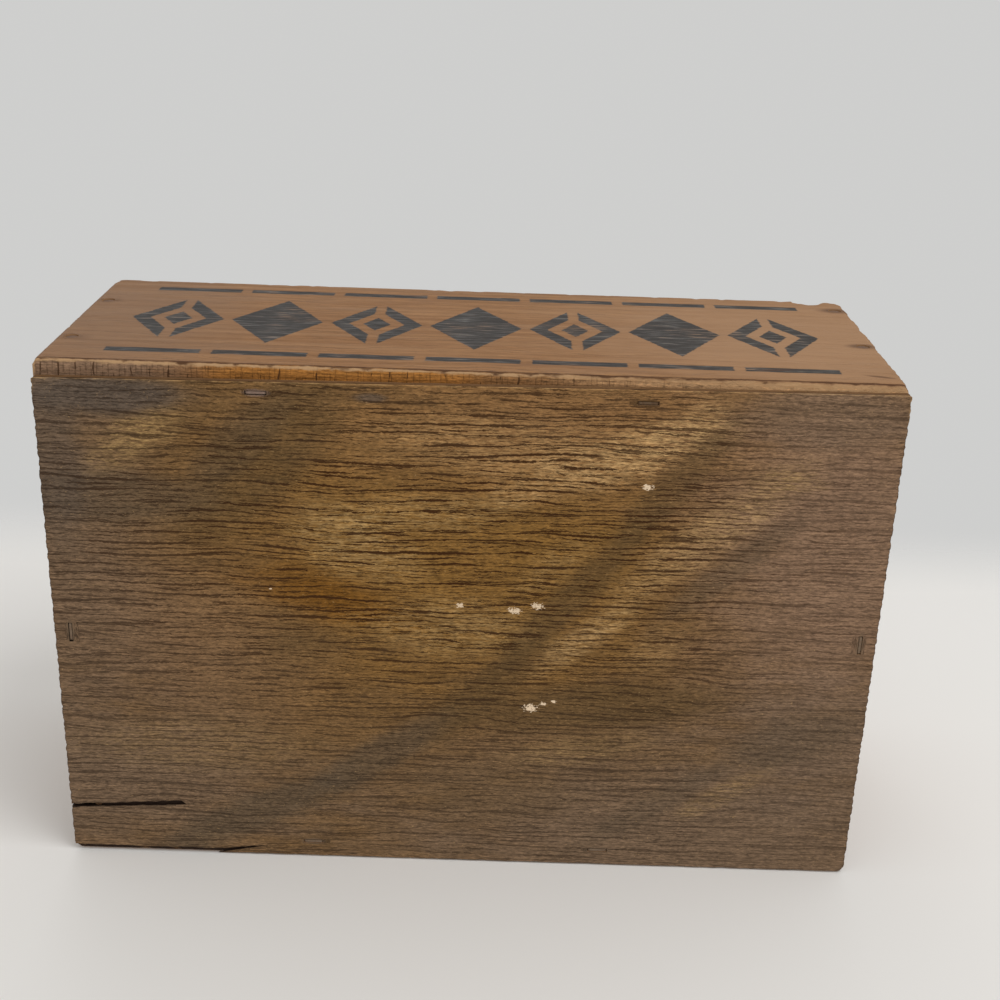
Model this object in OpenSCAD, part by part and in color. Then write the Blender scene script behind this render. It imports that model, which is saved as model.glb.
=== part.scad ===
// Open wooden egg crate: four nailed boards on a stapled plywood bottom.
// The origin is the middle of the bottom's underside. +X runs along the length, the printed
// front board faces -Y, and +Z points out of the open top. All sizes are in millimetres.

/* [Crate] */
// Outside length, along the front and back boards
crate_length = 254; // [200:1:320]
// Outside width, from the printed face to the back face
crate_width = 167; // [120:1:220]
// Height of the four boards, from the bottom panel to the rim
board_height = 95; // [70:1:130]
// Thickness of the front and back boards
side_thickness = 11; // [9:0.5:14]
// Thickness of the two end boards
end_thickness = 11; // [9:0.5:14]

/* [Worn edges] */
// Radius worn on the outer arrises of the boards
arris_radius = 1.2; // [0.4:0.1:2]
// Radius worn on the rim of the boards
rim_radius = 1.8; // [0.6:0.1:3]
// Length of the chip broken out of the front board's rim
rim_chip_length = 9; // [5:0.5:16]
// Depth of that chip at the printed face
rim_chip_depth = 2.6; // [1:0.1:4]
// Slope of that chip's floor, falling towards the printed face
rim_chip_slope = 30; // [20:5:45]
// Distance from the right end to the middle of that chip
rim_chip_inset = 13; // [10:0.5:40]

/* [Plywood bottom] */
// Thickness of the outer and the inner face veneer
face_veneer = 0.8; // [0.6:0.1:1.2]
// Thickness of the core veneer
core_veneer = 1.4; // [1:0.1:3]
// Strip of the front board that the panel leaves bare at the left end
left_reveal = 5; // [0.5:0.1:7]
// Strip of the front board that the panel leaves bare at the right end
right_reveal = 2; // [0.5:0.1:7]
// Radius worn on the panel's corners
panel_corner_radius = 2.6; // [0.5:0.1:5]

/* [Damage to the bottom] */
// Length of the split that runs in from the left edge
split_length = 38; // [15:1:60]
// Width of that split at the edge
split_width = 1.1; // [0.6:0.1:2.5]
// Width of that split at its blunt end
split_end_width = 1.5; // [0.6:0.1:2.5]
// Distance from the back edge to the middle of the split's mouth
split_inset = 16.5; // [9:0.5:40]
// Drift of the split towards the front, over its length
split_drift = 2.5; // [0:0.1:5]
// Length of the split where it goes right through the panel
split_through = 9; // [4:0.5:14]
// Length of the sliver lost from the back edge at the left
sliver_length = 47; // [25:1:60]
// Width of that sliver
sliver_width = 1.6; // [0.6:0.1:2.5]
// Length of the crack that runs on from the end of the sliver
crack_length = 17; // [6:1:24]
// Drift of that crack towards the front, over its length
crack_drift = 1.8; // [0.5:0.1:3]

/* [Corner nails] */
// Length of a nail from its head to its point
nail_length = 32; // [24:1:45]
// Diameter of a nail's shank
nail_shank = 2; // [1.6:0.1:2.6]
// Diameter of a nail's head
nail_head = 4.2; // [3.4:0.1:5]
// Thickness of a nail's head
nail_head_thickness = 0.8; // [0.6:0.1:1.2]
// Length of a nail's point
nail_point = 3; // [2:0.5:5]
// Depth of a nail's head below the face of the board
nail_sink = 0.3; // [0.1:0.1:1]
// Room between a nail and the wood around it
nail_clearance = 0.05; // [0.02:0.01:0.1]
// Height of the lower nails above the boards' lower edge, at the left corners
left_low_nail = 23; // [14:1:32]
// Depth of the upper nails below the rim, at the left corners
left_high_nail = 29; // [10:1:32]
// Height of the lower nails above the boards' lower edge, at the right corners
right_low_nail = 40; // [14:1:42]
// Depth of the upper nails below the rim, at the right corners
right_high_nail = 12; // [10:1:22]

/* [Bottom staples] */
// Width of a staple over its crown
staple_crown = 6.35; // [5:0.05:9]
// Length of a staple's legs
staple_leg = 12; // [9:0.5:16]
// Width of the staple wire
wire_width = 1.2; // [0.9:0.1:1.5]
// Thickness of the staple wire
wire_thickness = 0.9; // [0.6:0.1:1.1]
// Length of the slanted point of a leg
staple_point = 1.2; // [0.5:0.1:2]
// Depth of the crown below the underside of the bottom
staple_sink = 0.3; // [0.1:0.1:0.6]
// Room between a staple and the wood around it
staple_clearance = 0.05; // [0.02:0.01:0.1]
// Distance from the left end to the left staple at the front
front_left_staple = 65; // [25:1:90]
// Distance from the right end to the right staple at the front
front_right_staple = 76; // [25:1:90]
// Distance from the left end to the left staple at the back
back_left_staple = 79; // [74:1:92]
// Distance from the right end to the right staple at the back
back_right_staple = 82; // [25:1:90]
// Offset of the left end's staple from the middle, towards the back
left_end_staple = 3.5; // [-30:0.5:15]
// Offset of the right end's staple from the middle, towards the back
right_end_staple = -0.5; // [-30:0.5:30]

/* [Hidden] */
// Cutters start this far outside the wood
overcut = 1;
// A nail's point is this share of its shank
point_share = 0.25;
// Steps in the arc at each corner of the panel
corner_steps = 8;
$fn = 48;

bottom_thickness = 2 * face_veneer + core_veneer;
crate_height = bottom_thickness + board_height;
left = -crate_length / 2;
right = crate_length / 2;
front = -crate_width / 2;
back = crate_width / 2;
end_board_length = crate_width - 2 * side_thickness;

// The panel was cut out of square, so its front edge leaves a tapering strip of the board bare.
panel_corners = [
    [left, front + left_reveal],
    [right, front + right_reveal],
    [right, back],
    [left, back],
];

// Each nail goes through a long board into the end grain of the end board behind it.
nail_x = crate_length / 2 - end_thickness / 2;
nail_y = crate_width / 2 - nail_sink;
low_nails = [left_low_nail, right_low_nail];
high_nails = [left_high_nail, right_high_nail];
corner_nails = [
    for (side = [0, 1], end = [0, 1], level = ["low", "high"])
        [
            str("nail_", ["front", "back"][side], "_", ["left", "right"][end], "_", level),
            [[-nail_x, nail_x][end], [-nail_y, nail_y][side], nail_height(end, level)],
            [-90, 90][side],
        ],
];

// Each staple lies over the middle of the wood that the panel covers there.
bottom_staples = [
    ["staple_front_left", front_staple_place(left + front_left_staple), 0],
    ["staple_front_right", front_staple_place(right - front_right_staple), 0],
    ["staple_back_left", [left + back_left_staple, back - side_thickness / 2], 0],
    ["staple_back_right", [right - back_right_staple, back - side_thickness / 2], 0],
    ["staple_left_end", [left + end_thickness / 2, left_end_staple], 90],
    ["staple_right_end", [right - end_thickness / 2, right_end_staple], 90],
];

function nail_height(end, level) =
    level == "low" ? bottom_thickness + low_nails[end] : crate_height - high_nails[end];

function panel_front_at(x) =
    front + left_reveal + (right_reveal - left_reveal) * (x - left) / crate_length;

function front_staple_place(x) = [x, (panel_front_at(x) + front + side_thickness) / 2];

function unit(v) = v / norm(v);

// Points of the arc that rounds the corner at b of a counterclockwise outline a, b, c
function corner_arc(a, b, c, radius) =
    let (
        to_a = unit(a - b),
        to_c = unit(c - b),
        half_angle = acos(to_a * to_c) / 2,
        centre = b + unit(to_a + to_c) * radius / sin(half_angle),
        start = b + to_a * radius / tan(half_angle) - centre,
        first = atan2(start.y, start.x),
        turn = 180 - 2 * half_angle
    )
    [
        for (i = [0:corner_steps])
            let (angle = first + turn * i / corner_steps)
            centre + radius * [cos(angle), sin(angle)]
    ];

function rounded_outline(points, radius) = [
    for (i = [0:len(points) - 1])
        each corner_arc(
            points[(i + len(points) - 1) % len(points)],
            points[i],
            points[(i + 1) % len(points)],
            radius
        )
];

// The waste between a square corner at the origin and an arc of the given radius
module corner_waste(radius) {
    if (radius > 0)
        difference() {
            translate([-overcut, -overcut]) square(radius + overcut);
            translate([radius, radius]) circle(radius);
        }
}

// A rectangle from the origin, with radii at its lower left, lower right, upper right and upper left
module eased_rectangle(size, radii) {
    difference() {
        square(size);
        corner_waste(radii[0]);
        translate([size.x, 0]) mirror([1, 0]) corner_waste(radii[1]);
        translate(size) rotate(180) corner_waste(radii[2]);
        translate([0, size.y]) mirror([0, 1]) corner_waste(radii[3]);
    }
}

// A board on its lower edge, centred on X, with its outer face at y = 0 and its inner face behind.
// The end radius rounds the two upright outer edges.
module eased_board(length, thickness, end_radius) {
    intersection() {
        translate([-length / 2, 0, 0])
            rotate([90, 0, 90])
                linear_extrude(length)
                    eased_rectangle([thickness, board_height], [arris_radius, 0, rim_radius, rim_radius]);
        translate([-length / 2, 0, 0])
            linear_extrude(board_height)
                eased_rectangle([length, thickness], [end_radius, end_radius, 0, 0]);
    }
}

// A nail along +Z with its head at the origin, or its hole when it has room round it and a mouth
module nail_form(room, mouth) {
    translate([0, 0, -mouth]) cylinder(d = nail_head + 2 * room, h = nail_head_thickness + room + mouth);
    cylinder(d = nail_shank + 2 * room, h = nail_length - nail_point);
    translate([0, 0, nail_length - nail_point])
        cylinder(
            d1 = nail_shank + 2 * room,
            d2 = nail_shank * point_share + 2 * room,
            h = nail_point + room
        );
}

// A staple with its crown along X and its legs up, or its slot when it has room and a mouth
module staple_form(room, mouth) {
    outer = staple_crown / 2 + room;
    inner = staple_crown / 2 - wire_thickness - room;
    shoulder = wire_thickness + room;
    rotate([90, 0, 0])
        linear_extrude(wire_width + 2 * room, center = true)
            polygon([
                [-outer, -mouth],
                [outer, -mouth],
                [outer, staple_leg + room],
                [inner, staple_leg - staple_point + room],
                [inner, shoulder],
                [-inner, shoulder],
                [-inner, staple_leg - staple_point + room],
                [-outer, staple_leg + room],
            ]);
}

module place_nail(nail) {
    translate(nail[1]) rotate([nail[2], 0, 0]) children();
}

module place_staple(staple) {
    translate([staple[1].x, staple[1].y, staple_sink]) rotate(staple[2]) children();
}

module nail_holes() {
    for (nail = corner_nails)
        place_nail(nail) nail_form(nail_clearance, nail_sink + overcut);
}

module staple_slots() {
    for (staple = bottom_staples)
        place_staple(staple) staple_form(staple_clearance, staple_sink + overcut);
}

// A piece of wood with the nails and staples let into it
module fastened() {
    difference() {
        children();
        nail_holes();
        staple_slots();
    }
}

// A scoop out of the rim, deepest at the printed face and running out inside the board
module rim_chip() {
    scoop_radius = (rim_chip_length ^ 2 / 4 + rim_chip_depth ^ 2) / (2 * rim_chip_depth);
    axis_height = crate_height - rim_chip_depth + scoop_radius / cos(rim_chip_slope);
    translate([right - rim_chip_inset, front, axis_height])
        rotate([rim_chip_slope - 90, 0, 0])
            cylinder(r = scoop_radius, h = 4 * side_thickness, center = true);
}

module split_outline(length) {
    mouth_y = back - split_inset;
    end_y = mouth_y - split_drift * length / split_length;
    polygon([
        [left - overcut, mouth_y - split_width / 2],
        [left + length - split_end_width, end_y - split_end_width / 2],
        [left + length, end_y + split_end_width / 2],
        [left - overcut, mouth_y + split_width / 2],
    ]);
}

// The gap that the sliver left along the back edge. A crack runs on from its inner corner, and the
// wood between that crack and the edge is left as a pointed tongue.
module sliver_outline() {
    sliver_end = left + sliver_length;
    sliver_y = back - sliver_width;
    polygon([
        [left - overcut, sliver_y],
        [sliver_end, sliver_y],
        [sliver_end + crack_length, sliver_y - crack_drift],
        [sliver_end, back],
        [sliver_end, back + overcut],
        [left - overcut, back + overcut],
    ]);
}

// One veneer of the bottom, with the split as deep into the panel as it goes there
module veneer(height, thickness, split) {
    fastened()
        translate([0, 0, height])
            linear_extrude(thickness)
                difference() {
                    polygon(rounded_outline(panel_corners, panel_corner_radius));
                    split_outline(split);
                    children();
                }
}

module front_board() {
    color("#9c7a55")
        difference() {
            fastened()
                translate([0, front, bottom_thickness])
                    eased_board(crate_length, side_thickness, arris_radius);
            rim_chip();
        }
}

module back_board() {
    color("#937250")
        fastened()
            translate([0, back, bottom_thickness])
                rotate(180)
                    eased_board(crate_length, side_thickness, arris_radius);
}

module left_end_board() {
    color("#98785a")
        fastened()
            translate([left, 0, bottom_thickness])
                rotate(-90)
                    eased_board(end_board_length, end_thickness, 0);
}

module right_end_board() {
    color("#957455")
        fastened()
            translate([right, 0, bottom_thickness])
                rotate(90)
                    eased_board(end_board_length, end_thickness, 0);
}

module bottom_outer_veneer() {
    color("#6a5135")
        veneer(0, face_veneer, split_length)
            sliver_outline();
}

module bottom_core_veneer() {
    color("#8a6b46")
        veneer(face_veneer, core_veneer, split_through);
}

module bottom_inner_veneer() {
    color("#7d6040")
        veneer(face_veneer + core_veneer, face_veneer, split_through);
}

module corner_nail(nail) {
    color("#4a3f37")
        place_nail(nail) nail_form(0, 0);
}

module bottom_staple(staple) {
    color("#8b8378")
        place_staple(staple) staple_form(0, 0);
}

front_board();
back_board();
left_end_board();
right_end_board();
bottom_outer_veneer();
bottom_core_veneer();
bottom_inner_veneer();
for (nail = corner_nails)
    corner_nail(nail);
for (staple = bottom_staples)
    bottom_staple(staple);
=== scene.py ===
# %% [markdown]
# # A small wooden egg crate
#
# Four boards are nailed together at the corners, and a plywood bottom is stapled under them. The
# CAD model has every board, veneer, nail and staple at its real size. This lesson gives them the
# marks of long use: rounded edges, splits, stains, a worn print and rust. Each piece made here
# replaces CAD nodes and stays inside their boxes, so the crate keeps its size.

import math

import bmesh
import bpy
from mathutils import Matrix, Vector, noise


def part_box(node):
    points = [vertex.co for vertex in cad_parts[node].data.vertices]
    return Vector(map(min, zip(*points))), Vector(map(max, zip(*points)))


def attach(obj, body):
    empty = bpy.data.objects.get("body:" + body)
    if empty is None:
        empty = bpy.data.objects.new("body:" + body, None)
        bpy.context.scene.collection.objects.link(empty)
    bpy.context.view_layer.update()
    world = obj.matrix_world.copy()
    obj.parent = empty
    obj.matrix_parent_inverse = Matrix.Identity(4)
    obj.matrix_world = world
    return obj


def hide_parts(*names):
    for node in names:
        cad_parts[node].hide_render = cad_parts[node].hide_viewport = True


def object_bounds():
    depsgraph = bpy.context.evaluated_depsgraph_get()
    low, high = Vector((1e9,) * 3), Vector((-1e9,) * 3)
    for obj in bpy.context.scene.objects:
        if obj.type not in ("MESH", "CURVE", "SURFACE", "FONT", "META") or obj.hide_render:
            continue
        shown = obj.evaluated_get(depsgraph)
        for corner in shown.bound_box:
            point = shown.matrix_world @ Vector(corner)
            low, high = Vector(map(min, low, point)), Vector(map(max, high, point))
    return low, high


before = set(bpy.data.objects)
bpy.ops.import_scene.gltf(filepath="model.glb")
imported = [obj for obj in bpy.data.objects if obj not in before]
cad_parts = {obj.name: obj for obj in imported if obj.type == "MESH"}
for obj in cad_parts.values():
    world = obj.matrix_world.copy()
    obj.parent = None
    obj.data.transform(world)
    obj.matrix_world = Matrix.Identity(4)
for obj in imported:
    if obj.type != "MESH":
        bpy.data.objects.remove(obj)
CAD_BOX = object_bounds()
MM = 0.001  # metres in a millimetre


def mm_box(node):
    """Lowest and highest corner of a CAD node, in millimetres."""
    low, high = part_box(node)
    return Vector(low) / MM, Vector(high) / MM


print("CAD box in mm:", [[round(value / MM, 1) for value in corner] for corner in CAD_BOX])

# %% [markdown]
# ## Formulas as nodes
#
# Old wood follows rules: edges round off, grain runs one way, stains spread from a place. Such
# rules are node trees in Blender, for shapes and for colours. Drawn in plain code, a tree of fifty
# Math nodes is hard to read, so two small classes let a node's output stand in a sum as a number
# does. The same two classes serve the Geometry Nodes and the shader trees.

# %% A sheet to draw nodes on
class Wire:
    """One output of a node, which can stand in a sum like a number."""

    def __init__(self, sheet, socket):
        self.sheet = sheet
        self.socket = socket

    def __add__(self, other):
        return self.sheet.math("ADD", self, other)

    def __radd__(self, other):
        return self.sheet.math("ADD", other, self)

    def __sub__(self, other):
        return self.sheet.math("SUBTRACT", self, other)

    def __rsub__(self, other):
        return self.sheet.math("SUBTRACT", other, self)

    def __mul__(self, other):
        return self.sheet.math("MULTIPLY", self, other)

    def __rmul__(self, other):
        return self.sheet.math("MULTIPLY", other, self)

    def __truediv__(self, other):
        return self.sheet.math("DIVIDE", self, other)

    def __abs__(self):
        return self.sheet.math("ABSOLUTE", self)


class Sheet:
    """A node tree being drawn, with a short method for each node that the crate needs."""

    def __init__(self, tree):
        self.tree = tree

    def feed(self, socket, value):
        if isinstance(value, Wire):
            self.tree.links.new(value.socket, socket)
        else:
            socket.default_value = value

    def node(self, kind, inputs=(), **settings):
        made = self.tree.nodes.new(kind)
        for name, value in settings.items():
            setattr(made, name, value)
        for key, value in dict(inputs).items():
            self.feed(made.inputs[key], value)
        return made

    def wire(self, kind, inputs=(), output=0, **settings):
        return Wire(self, self.node(kind, inputs, **settings).outputs[output])

    def math(self, operation, first, second=0.0):
        return self.wire("ShaderNodeMath", {0: first, 1: second}, operation=operation)

    def vector(self, operation, first, second=(0.0, 0.0, 0.0)):
        return self.wire("ShaderNodeVectorMath", {0: first, 1: second}, operation=operation)

    def scale(self, vector, factor):
        return self.wire("ShaderNodeVectorMath", {0: vector, "Scale": factor}, operation="SCALE")

    def length(self, vector):
        return self.wire("ShaderNodeVectorMath", {0: vector}, "Value", operation="LENGTH")

    def split(self, vector):
        return [Wire(self, part) for part in self.node("ShaderNodeSeparateXYZ", {0: vector}).outputs]

    def join(self, x, y, z):
        return self.wire("ShaderNodeCombineXYZ", {0: x, 1: y, 2: z})

    def within(self, value, reach):
        """The value, held between minus reach and plus reach."""
        return self.math("MAXIMUM", self.math("MINIMUM", value, reach), 0.0 - reach)

    def ease(self, value, start, end, low=0.0, high=1.0):
        """Goes smoothly from low at start to high at end; start may be the larger of the two."""
        settings = {0: value, 1: start, 2: end, 3: low, 4: high}
        return self.wire("ShaderNodeMapRange", settings, interpolation_type="SMOOTHSTEP")

    def noise(self, place, detail=2.0, roughness=0.5):
        settings = {"Vector": place, "Scale": 1.0, "Detail": detail, "Roughness": roughness}
        return self.wire("ShaderNodeTexNoise", settings)

    def mix(self, amount, first, second):
        """A colour that goes from first to second as amount goes from 0 to 1."""
        return self.wire("ShaderNodeMix", {0: amount, 6: first, 7: second}, 2, data_type="RGBA")

    def group(self, tree, inputs):
        """Places a shader group and returns its outputs as wires by name."""
        made = self.node("ShaderNodeGroup", node_tree=tree)
        for key, value in inputs.items():
            self.feed(made.inputs[key], value)
        return {socket.name: Wire(self, socket) for socket in made.outputs}


def new_tree(name, kind, inputs, outputs):
    """An empty node group: its sheet, its inputs as wires by name, and its output node."""
    tree = bpy.data.node_groups.new(name, kind)
    for in_out, sockets in (("INPUT", inputs), ("OUTPUT", outputs)):
        for label, socket_kind in sockets.items():
            tree.interface.new_socket(label, in_out=in_out, socket_type="NodeSocket" + socket_kind)
    sheet = Sheet(tree)
    source = tree.nodes.new("NodeGroupInput")
    given = {label: Wire(sheet, source.outputs[label]) for label in inputs}
    return sheet, given, tree.nodes.new("NodeGroupOutput")


# %% [markdown]
# ## Wear as a rule
#
# A sawn board starts with sharp edges. Handling rounds them, most of all at the rim, the soft
# bands of the grain sink, the ends get ragged, and knocks take small nicks out of the edges. That
# could be sculpted by hand, but seven pieces of this crate wear by the same rule, so one tree makes
# them all from a cube with many faces. The points crowd together near the edges, where the
# rounding needs them. Everything only moves inwards, so no piece leaves its CAD box.
#
# The tree also stores three attributes for the materials: the place on the board along its own
# grain, the distance to the nearest edge, and which faces are old surface and not a fresh cut.

# %% The tree that wears a board
WORN_WOOD_INPUTS = {
    "Size": "Vector", "Centre": "Vector", "Turn": "Float",
    "Steps Long": "Int", "Steps Thick": "Int", "Steps High": "Int",
    "Margin": "Float", "Margin Share": "Float",
    "Arris": "Float", "Rim": "Float", "End Round": "Float",
    "Corner Front": "Float", "Corner Back": "Float", "Lip Left": "Float", "Lip Right": "Float",
    "Relief": "Float", "Nicks": "Float", "Ragged Left": "Float", "Ragged Right": "Float",
    "Ragged Pitch": "Float",
    "Skew": "Float", "Seed": "Float", "Gaps": "Object", "Finish": "Material",
}


def round_corner(sheet, pair, reach, radius):
    """Pulls two coordinates from the corners of a rectangle onto rounded corners."""
    flat = [sheet.within(value, side - radius) for value, side in zip(pair, reach)]
    over = [value - level for value, level in zip(pair, flat)]
    furthest = sheet.math("MAXIMUM", abs(over[0]), abs(over[1]))
    straight = sheet.math("SQRT", over[0] * over[0] + over[1] * over[1])
    pull = furthest / (straight + 1e-6)
    return [level + value * pull for level, value in zip(flat, over)]


def round_edges(sheet, given, at, half, soil):
    """Pulls the points of a block onto rounded edges: the new place and the outward direction."""
    lift = at[2]
    radius = given["Arris"] + (given["Rim"] - given["Arris"]) * sheet.ease(lift, 0.0, half[2])
    radius = radius * (0.6 + 0.8 * sheet.noise(sheet.vector("DIVIDE", soil, (16.0, 9.0, 9.0))))
    for reach in half[1:]:
        radius = sheet.math("MINIMUM", radius, reach * 0.9)
    core = sheet.join(*[sheet.within(a, reach - radius) for a, reach in zip(at, half)])
    outward = sheet.vector("NORMALIZE", sheet.vector("SUBTRACT", sheet.join(*at), core))
    x, y, z = sheet.split(sheet.vector("ADD", core, sheet.scale(outward, radius)))
    corner = sheet.ease(y, 0.0 - half[1], half[1], given["Corner Front"], given["Corner Back"])
    x, y = round_corner(sheet, (x, y), half[:2], corner)
    ends = given["End Round"] * sheet.ease(z, 0.0 - half[2], half[2], 0.08, 1.0)
    x, z = round_corner(sheet, (x, z), (half[0], half[2]), ends)
    lip = sheet.ease(x, 0.0, half[0], given["Lip Left"], given["Lip Right"])
    low_front = sheet.math("LESS_THAN", y, 0.0) * sheet.math("LESS_THAN", z, 0.0)
    y, z = round_corner(sheet, (y, z), half[1:], lip * low_front + 0.001)
    return sheet.join(x, y, z), outward


def edge_distance(sheet, at, half):
    """Distance to the nearest edge: the middle one of the three distances to the faces."""
    gaps = [reach - abs(a) for a, reach in zip(at, half)]
    least = sheet.math("MINIMUM", sheet.math("MINIMUM", gaps[0], gaps[1]), gaps[2])
    most = sheet.math("MAXIMUM", sheet.math("MAXIMUM", gaps[0], gaps[1]), gaps[2])
    return gaps[0] + gaps[1] + gaps[2] - least - most


def wear_depth(sheet, given, soil, edge):
    """How far the surface has sunk at each point, in millimetres."""
    ridges = sheet.noise(sheet.vector("DIVIDE", soil, (26.0, 1.3, 1.3)))
    swell = sheet.noise(sheet.vector("DIVIDE", soil, (45.0, 26.0, 26.0)))
    knocks = sheet.noise(sheet.vector("DIVIDE", soil, (5.0, 3.2, 3.2)), 3.0)
    nicks = sheet.ease(knocks, 0.52, 0.78) * sheet.ease(edge, 2.6, 0.2) * given["Nicks"]
    return given["Relief"] * (0.7 * ridges + swell) + nicks


def worn_wood_tree():
    sheet, given, result = new_tree(
        "worn_wood", "GeometryNodeTree", WORN_WOOD_INPUTS, {"Mesh": "Geometry"})
    blank = sheet.wire("GeometryNodeMeshCube", {
        "Size": (1.0, 1.0, 1.0), "Vertices X": given["Steps Long"],
        "Vertices Y": given["Steps Thick"], "Vertices Z": given["Steps High"]})
    half = [side * 0.5 for side in sheet.split(given["Size"])]

    def crowd(at, reach):
        """Moves evenly spaced points so that they crowd together near the edges."""
        along = abs(at) * 2.0
        fine = sheet.math("MINIMUM", given["Margin"], reach * 0.5)
        plain = 1.0 - given["Margin Share"]
        middle = sheet.math("MINIMUM", along / plain, 1.0) * (reach - fine)
        edge = sheet.math("MAXIMUM", (along - plain) / given["Margin Share"], 0.0) * fine
        return sheet.math("SIGN", at) * (middle + edge)

    start = sheet.split(sheet.wire("GeometryNodeInputPosition"))
    at = [crowd(a, reach) for a, reach in zip(start, half)]
    seed = given["Seed"]
    soil = sheet.vector("ADD", sheet.join(*at), sheet.join(seed * 37.1, seed * 53.7, seed * 71.3))
    edge = edge_distance(sheet, at, half)
    rounded, outward = round_edges(sheet, given, at, half, soil)
    sunk = sheet.scale(outward, wear_depth(sheet, given, soil, edge))
    x, y, z = sheet.split(sheet.vector("SUBTRACT", rounded, sunk))

    pitch = given["Ragged Pitch"]
    teeth = sheet.noise(sheet.join(y / (pitch * 2.5), y / pitch, z / pitch + seed), 4.0, 0.65)
    ragged = sheet.ease(teeth, 0.34, 0.72)
    x = x + ragged * given["Ragged Left"] * sheet.ease(x, 6.0 - half[0], 0.0 - half[0])
    x = x - ragged * given["Ragged Right"] * sheet.ease(x, half[0] - 6.0, half[0])
    y = y + given["Skew"] * (0.5 - y / (half[1] * 2.0)) * (0.5 - x / (half[0] * 2.0))
    place = sheet.join(x, y, z)

    mesh = blank
    for label, kind, domain, value in (
        ("grain_co", "FLOAT_VECTOR", "POINT", place),
        ("edge_gap", "FLOAT", "POINT", edge),
        ("skin", "FLOAT", "FACE", 1.0),
    ):
        stored = {"Geometry": mesh, "Name": label, "Value": value}
        mesh = sheet.wire("GeometryNodeStoreNamedAttribute", stored, data_type=kind, domain=domain)
    mesh = sheet.wire("GeometryNodeSetPosition", {"Geometry": mesh, "Position": place})
    turn = sheet.wire("FunctionNodeEulerToRotation", {0: sheet.join(0.0, 0.0, given["Turn"])})
    moved = {"Geometry": mesh, "Translation": given["Centre"], "Rotation": turn}
    mesh = sheet.wire("GeometryNodeTransform", moved)
    mesh = sheet.wire("GeometryNodeTransform", {"Geometry": mesh, "Scale": (MM, MM, MM)})
    gaps = sheet.wire("GeometryNodeObjectInfo", {"Object": given["Gaps"]}, "Geometry")
    mesh = sheet.wire("GeometryNodeMeshBoolean", {"Mesh 1": mesh, "Mesh 2": gaps},
                      operation="DIFFERENCE", solver="MANIFOLD")
    mesh = sheet.wire("GeometryNodeSetShadeSmooth", {"Geometry": mesh, "Shade Smooth": True})
    sharp = sheet.math("GREATER_THAN", sheet.wire("GeometryNodeInputMeshEdgeAngle"), 0.7)
    mesh = sheet.wire("GeometryNodeSetShadeSmooth",
                      {"Geometry": mesh, "Selection": sharp, "Shade Smooth": False}, domain="EDGE")
    mesh = sheet.wire("GeometryNodeRealizeInstances", {"Geometry": mesh})
    mesh = sheet.wire("GeometryNodeSetMaterial", {"Geometry": mesh, "Material": given["Finish"]})
    sheet.feed(result.inputs["Mesh"], mesh)
    return sheet.tree


WORN_WOOD = worn_wood_tree()
print("worn_wood:", len(WORN_WOOD.nodes), "nodes")

# %% [markdown]
# A tree is only a recipe. To use it, an object gets a Nodes modifier with its own values, and the
# result is taken off as a plain mesh, because the part that leaves Blender is only meshes.

# %% From a tree to a plain piece
def make_piece(name, tree, values, nodes):
    """Runs a tree with the given values and puts its mesh in place of the CAD nodes."""
    piece = bpy.data.objects.new(name, bpy.data.meshes.new(name))
    bpy.context.scene.collection.objects.link(piece)
    modifier = piece.modifiers.new("shape", "NODES")
    modifier.node_group = tree
    for item in tree.interface.items_tree:
        if item.in_out == "INPUT" and item.name in values:
            modifier[item.identifier] = values[item.name]
    graph = bpy.context.evaluated_depsgraph_get()
    made = bpy.data.meshes.new_from_object(
        piece.evaluated_get(graph), preserve_all_data_layers=True, depsgraph=graph)
    piece.modifiers.remove(modifier)
    piece.data = made
    made.name = name
    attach(piece, "root")
    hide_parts(*nodes)
    print(name, len(made.vertices), "points,", len(made.polygons), "faces")
    return piece


# %% [markdown]
# ## Holes, splits and chips
#
# Nail heads are driven a little below the face and crush a ring of wood, staples sit in slots, a
# split runs in from the left end of the bottom, a sliver of its outer veneer is gone, and the rim
# has lost a chip. Each is cut with a small closed mesh, by a Boolean in the tree above. The
# outlines are those of the CAD part, with a rough line along the broken fibres.

# %% Shapes to cut with
def add_prism(shape, outline, low, high, rough=0.0):
    """Adds an upright prism in millimetres; rough moves the points of its outline sideways."""
    corners = [Vector(corner) for corner in outline]
    points = []
    for start, end in zip(corners, corners[1:] + corners[:1]):
        steps = max(1, round((end - start).length / 1.2))
        across = Vector((start.y - end.y, end.x - start.x)).normalized()
        for step in range(steps):
            at = start.lerp(end, step / steps)
            sway = noise.noise(Vector((at.x * 0.45, at.y * 0.45, 3.0)))
            points.append(at + across * sway * rough)
    rings = [[shape.verts.new((p.x, p.y, level)) for p in points] for level in (low, high)]
    for index in range(len(points)):
        follow = (index + 1) % len(points)
        shape.faces.new((rings[0][index], rings[0][follow], rings[1][follow], rings[1][index]))
    shape.faces.new(rings[0][::-1])
    shape.faces.new(rings[1])


def add_lump(shape, centre, size, rough, seed):
    """Adds a rough round lump: a ball of many faces, squashed, dented and drawn out along x."""
    ball = bmesh.ops.create_icosphere(shape, subdivisions=5, radius=1.0)
    shift = Vector((seed, 0.0, 0.0))
    for point in ball["verts"]:
        fibre = Vector((point.co.x * 1.3, point.co.y * 6.0, point.co.z * 6.0))
        dent = noise.noise(point.co * 1.9 + shift) + 0.5 * noise.noise(fibre + shift)
        dent = 1.0 + rough * dent
        point.co = Vector(centre) + Vector(size) * 0.5 * point.co * dent


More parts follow.
